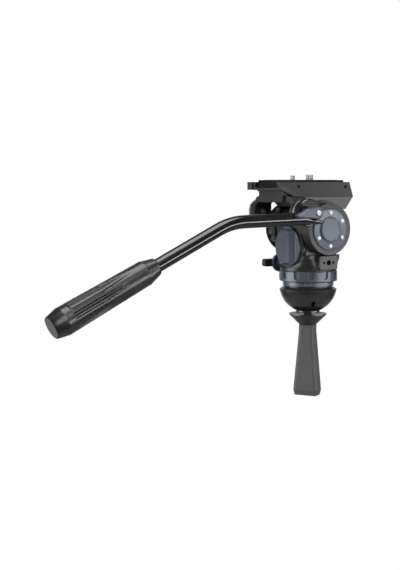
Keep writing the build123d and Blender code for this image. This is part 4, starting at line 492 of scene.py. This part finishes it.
# %% Make the grip, from its front edge to the seat of its end cap
# The rings stand close together where the shape changes: at both edges, on the front cone and where
# the flutes and grooves end.
cap_seat_radius, cap_seat_place = 11.95, 140.6
grip_steps = [0, 0.6] + [15.5 * i / 8 for i in range(1, 9)] + [16.5, 17.6, 19.0, 21.0]
grip_steps += [21.0 + 94.0 * i / 47 for i in range(1, 48)]
grip_steps += [115.0 + 4.2 * i / 14 for i in range(1, 15)]
grip_steps += [121.0, 123.5, 125.0, 126.0, 127.0, 128.0, 129.5, 133.5, 137.5, 141.6, 142.6]
rings = [grip_ring(place) for place in grip_steps]
rings += [grip_ring(place, cap_seat_radius) for place in (grip_steps[-1], cap_seat_place)]
add_piece("fluted_grip", [skin(rings)], "bar_grip", sharp_angle=38)

# %% [markdown]
# ### The bent tube
#
# The bar is one steel tube, drawn straight, bent once on a large former and painted gloss black. A
# curve object with a round bevel would do. Rings of points along the two runs and the arc between
# them give the same tube with evenly spaced rings, and the highlight then runs along it unbroken.

# %% Make the tube
bend_radius = 88.0
tube_radius = 8.0
tube_in_grip = 111.8
socket_play = 0.05
bend_steps = 40
tube_segments = 64
first_run = (bar_corner - bar_start).normalized()
bend_angle = first_run.angle(slope_along)
bend_setback = bend_radius * sin(bend_angle / 2) / cos(bend_angle / 2)
bend_start = bar_corner - bend_setback * first_run
towards_centre = outward.cross(first_run)
if towards_centre.dot(slope_along) < 0:
    towards_centre = -towards_centre
tube_line = [(bar_start + socket_play * first_run, first_run), (bend_start, first_run)]
for i in range(1, bend_steps + 1):
    turn = bend_angle * i / bend_steps
    along = cos(turn) * first_run + sin(turn) * towards_centre
    on_arc = bend_radius * (sin(turn) * first_run + (1 - cos(turn)) * towards_centre)
    tube_line.append((bend_start + on_arc, along))
tube_line.append((grip_start + tube_in_grip * slope_along, slope_along))
rings = [ring_at(centre * mm, outward, along.cross(outward), [tube_radius * mm] * tube_segments)
         for centre, along in tube_line]
add_piece("bent_tube", [skin(rings)], "pan_bar_tube")

# %% [markdown]
# ### The tilt cover and its screws
#
# The cover on the right ear is turned from aluminium. Its face is dished very slightly between the rim
# and the cap, so it catches the light in the upper half and darkens below. The six screws have low
# domed heads with a hexagon socket. A flat disc would reflect one even tone, so the dish is in the mesh.

# %% Turn the cover
tilt_height = 72.0
cover_back, cover_face, cover_radius = 42.0, 46.8, 26.4
cap_radius, cover_bore = 15.9, 3.0
dish_radius, dish_width, dish_lip, dish_deep = 24.9, 8.6, 0.25, 0.65
dish_steps = 8
cover_outline = [(cover_back, cover_radius), (cover_face - 1.1, cover_radius), (cover_face - 0.1, 25.6),
                 (cover_face, 25.4), (cover_face, 25.1), (cover_face - dish_lip, dish_radius)]
cover_outline += [(cover_face - dish_lip - dish_deep * i / dish_steps,
                   dish_radius - dish_width * i / dish_steps) for i in range(1, dish_steps + 1)]
cover_outline += [(cover_face, cap_radius), (cover_face, cover_bore)]
add_piece("dished_cover", [turned(cover_outline, (0, 0, tilt_height), outward, 96)], "tilt_cover",
          sharp_angle=25)

# %% A domed screw head with a hexagon socket
def hexagon(radius, segments):
    """Radii of a hexagon, corner to corner, at equal angles."""
    return [radius * cos(pi / 6) / cos((i * tau / segments) % (tau / 6) - tau / 12)
            for i in range(segments)]


def domed_head(base, top, radius, socket_radius, socket_depth, segments=48, dome_steps=9):
    """Profile of a head: a short cylinder, a dome and a socket sunk in its middle."""
    shoulder = base + (top - base) * 0.45
    profile = [(base, radius), (shoulder, radius)]
    for i in range(1, dome_steps):
        turn = radians(90) * i / dome_steps
        profile.append((shoulder + (top - shoulder) * sin(turn), radius * (0.42 + 0.58 * cos(turn))))
    flat = profile[-1][0]
    profile.append((flat, hexagon(socket_radius, segments)))
    profile.append((flat - socket_depth, hexagon(socket_radius, segments)))
    profile.append((flat - socket_depth - 0.2, [0.2] * segments))
    return profile


# %% Six cover screws and the clamp lever's screw
screw_count, screw_circle = 6, 21.0
cover_head = domed_head(base=46.2, top=47.7, radius=2.65, socket_radius=1.05, socket_depth=0.6)
cover_shank = [(38.0, 1.5), (46.3, 1.5)]
screws = []
for i in range(screw_count):
    turn = radians(90 + 360 / screw_count * i)
    place = (0, screw_circle * cos(turn), tilt_height + screw_circle * sin(turn))
    screws += [turned(cover_head, place, outward, 48), turned(cover_shank, place, outward, 32)]
add_piece("domed_cover_screws", screws, "tilt_cover_screws", material="bright_nickel")
lever_head = domed_head(base=80.8, top=83.9, radius=3.6, socket_radius=1.6, socket_depth=0.9)
add_piece("domed_lever_screw", [turned(lever_head, (0, -45.5, 94.0), outward, 48)], "bar_clamp_screw",
          material="bright_nickel")

# %% [markdown]
# ### The camera screws
#
# The two captive screws have inch threads, 20 and 16 turns to the inch. A thread can be made with the
# screw modifier. Here it follows from a rule again: the radius drops and rises once for each turn, and
# the drop is shifted by the angle, so the grooves wind upwards as one spiral.

# %% A captive screw with a thread
inch = 25.4
screw_segments = 48
plate_top, head_top, head_bottom = 134.0, 128.8, 125.0
head_edge = 0.3
thread_depth, groove_share = 0.55, 0.42
start_length, point_length, point_narrows = 0.4, 0.6, 0.16


def flat_ring(back, height, radii):
    """A horizontal ring of points at a distance behind the pan axis and a height, in mm."""
    return ring_at(Vector((0, -back, height)) * mm, Vector((0, 1, 0)), Vector((1, 0, 0)),
                   [radius * mm for radius in radii])


def thread_rings(back, bottom, top, radius, pitch, steps_per_turn=10):
    """Rings of a right-hand thread between two heights, pointed at the end."""
    depth = thread_depth * pitch
    steps = round((top - bottom) / pitch * steps_per_turn)
    rings = []
    for step in range(steps + 1):
        height = bottom + (top - bottom) * step / steps
        ending = max(0.0, 1 - (top - height) / point_length)
        started = min(1.0, (height - bottom) / start_length)
        radii = []
        for i in range(screw_segments):
            phase = ((height - bottom) / pitch + i / screw_segments) % 1.0
            groove = max(0.0, 1 - abs(phase - 0.5) / groove_share)
            radii.append((radius - depth * groove * started) * (1 - point_narrows * ending))
        rings.append(flat_ring(back, height, radii))
    return rings


def camera_screw(name, stands_for, back, radius, neck_radius, head_radius, pitch, proud):
    """A captive screw: round head, thin neck and threaded end."""
    profile = ((head_bottom, head_radius - head_edge), (head_bottom + head_edge, head_radius),
               (head_top - head_edge, head_radius), (head_top, head_radius - head_edge),
               (head_top, neck_radius), (plate_top - 0.2, neck_radius), (plate_top, radius))
    rings = [flat_ring(back, height, [ring_radius] * screw_segments)
             for height, ring_radius in profile]
    rings += thread_rings(back, plate_top + 0.05, plate_top + proud, radius, pitch)
    return add_piece(name, [skin(rings)], stands_for, sharp_angle=40)


quarter_back, three_eighths_back = 26.0, -1.0
quarter = camera_screw(
    "quarter_inch_screw", "quarter_screw", quarter_back, radius=3.175, neck_radius=2.5,
    head_radius=6.0, pitch=inch / 20, proud=5.8)
three_eighths = camera_screw(
    "three_eighths_inch_screw", "three_eighths_screw", three_eighths_back, radius=4.7625,
    neck_radius=3.8, head_radius=7.4, pitch=inch / 16, proud=7.0)

# %% Cut the coin slots
slot_height, slot_width, slot_deep = 125.6, 1.5, 1.8


def cut_slot(piece, back, slot_length):
    """Cuts a box out of a screw's head with a boolean, and keeps the result as its mesh."""
    bpy.ops.mesh.primitive_cube_add(size=1, location=Vector((0, -back, slot_height)) * mm)
    cutter = bpy.context.object
    cutter.scale = Vector((slot_length, slot_width, slot_deep)) * mm
    slot = piece.modifiers.new("slot", "BOOLEAN")
    slot.object = cutter
    slot.operation = "DIFFERENCE"
    bpy.context.view_layer.update()
    solved = piece.evaluated_get(bpy.context.evaluated_depsgraph_get())
    piece.data = bpy.data.meshes.new_from_object(solved)
    piece.modifiers.clear()
    bpy.data.objects.remove(cutter)


cut_slot(quarter, quarter_back, slot_length=14)
cut_slot(three_eighths, three_eighths_back, slot_length=17)

# %% [markdown]
# ### The spirit level
#
# A round level is a clear cup of yellow-green liquid with a domed top, a black ring on the dome and a
# bubble under it. The dome and the liquid are one glassy mesh. The bubble and the ring are thin
# meshes that lie on the dome, so they show from any side.

# %% Make the spirit level
level_place = Vector((-12.0, 31.5, 0))
bubble_place = level_place + Vector((0.4, 0.3, 0))
dome_radius, dome_base, dome_rise, cup_floor = 5.45, 36.6, 1.7, 32.15
ring_outer, ring_inner, ring_sunk, ring_proud = 2.5, 2.1, 0.1, 0.03


def dome_height(distance):
    """Height of the dome's surface at a distance from the middle of the level."""
    return dome_base + dome_rise * (1 - (distance / dome_radius) ** 2)


dome_outline = [(cup_floor, dome_radius), (dome_base, dome_radius)]
dome_outline += [(dome_height(dome_radius * (1 - i / 12)), dome_radius * (1 - i / 12))
                 for i in range(1, 12)]
dome_outline.append((dome_height(0), 0.1))
add_piece("level_glass", [turned(dome_outline, level_place, upright)], "bubble_vial")
ring_outline = [(dome_height(ring_outer) - ring_sunk, ring_outer),
                (dome_height(ring_outer) + ring_proud, ring_outer),
                (dome_height(ring_inner) + ring_proud, ring_inner),
                (dome_height(ring_inner) - ring_sunk, ring_inner)]
add_piece("level_ring", [turned(ring_outline, level_place, upright)], "bubble_vial",
          material="lever_black", hides=False)
bubble_base = dome_height(0.6)
bubble_outline = [(bubble_base - 0.3, 1.6), (bubble_base - 0.1, 1.75), (bubble_base + 0.02, 1.55),
                  (bubble_base + 0.1, 1.1), (bubble_base + 0.14, 0.1)]
add_piece("level_bubble", [turned(bubble_outline, bubble_place, upright)], "bubble_vial",
          material="bubble_white", hides=False)

# %% [markdown]
# ### The plate's rubber pads
#
# Two rubber strips stop the camera from turning on the plate. Their tops are moulded with fine ribs
# across. A bump texture could fake the ribs, but they are wide enough to be seen, so the strip is one
# comb-shaped outline drawn out across its width.

# %% Make the ribbed pads
pad_middle, pad_half_width = 14.6, 3.75


def comb_strip(side_from, side_to, first, last, bottom, land, top, pitch):
    """A strip along Y whose top has ribs across it."""
    outline = [(first, bottom), (first, land)]
    place = first + pitch * 0.35
    while place + pitch * 0.65 < last:
        outline += [(place, land), (place + pitch * 0.15, top), (place + pitch * 0.5, top),
                    (place + pitch * 0.65, land)]
        place += pitch
    outline += [(last, land), (last, bottom)]
    near = [Vector((side_from, y, z)) * mm for y, z in outline]
    far = [Vector((side_to, y, z)) * mm for y, z in outline]
    return skin([near, far])


add_piece(
    "ribbed_pads",
    [comb_strip(side * pad_middle - pad_half_width, side * pad_middle + pad_half_width,
                first=-58.0, last=33.0, bottom=133.0, land=134.0, top=134.3, pitch=1.6)
     for side in (-1, 1)], "plate_pads")

# %% [markdown]
# ### Graduations on the pan scale
#
# The fixed ring under the drag ring carries a line for every five degrees, with a longer one every
# thirty. On the real head they are engraved and filled with paint. They are thin raised bars here, as
# thick as a coat of paint.

# %% Paint the graduations
line_sunk, line_proud = 0.2, 0.04


def painted_line(middle, outward_to, along, upward):
    """A thin bar on a face: half its width is along and half its length is upward."""
    inner = [(middle - line_sunk * outward_to + a * along + b * upward) * mm
             for a, b in ((-1, -1), (1, -1), (1, 1), (-1, 1))]
    return skin([inner, [point + (line_sunk + line_proud) * mm * outward_to for point in inner]])


scale_radius, scale_middle, scale_step = 33.0, 1.4, 5
marks = []
for degrees in range(0, 360, scale_step):
    turn = radians(degrees)
    out_from = Vector((cos(turn), sin(turn), 0))
    marks.append(painted_line(
        scale_radius * out_from + Vector((0, 0, scale_middle)), out_from,
        Vector((-sin(turn), cos(turn), 0)) * 0.14, Vector((0, 0, 1.0 if degrees % 30 else 1.7))))
add_piece("scale_marks", marks, "pan_scale_ring", material="mark_grey", hides=False)

# %% [markdown]
# ### Drag steps on the tilt dial
#
# The dial on the left side sets how stiff the tilt is. Its face carries one line for each step, and a
# longer one at the free setting. They are painted on in the same way as the pan scale.

# %% Paint the drag steps
dial_face, step_radius, step_apart = -52.0, 26.5, 24
free_setting, last_setting = -4, 4
steps = []
for setting in range(free_setting, last_setting + 1):
    turn = radians(setting * step_apart)
    out_from = Vector((0, sin(turn), cos(turn)))
    steps.append(painted_line(
        Vector((dial_face, 0, tilt_height)) + step_radius * out_from, Vector((-1, 0, 0)),
        Vector((0, cos(turn), -sin(turn))) * 0.45, out_from * (3.0 if setting == free_setting else 1.9)))
add_piece("dial_steps", steps, "dial_rim", material="mark_grey", hides=False)
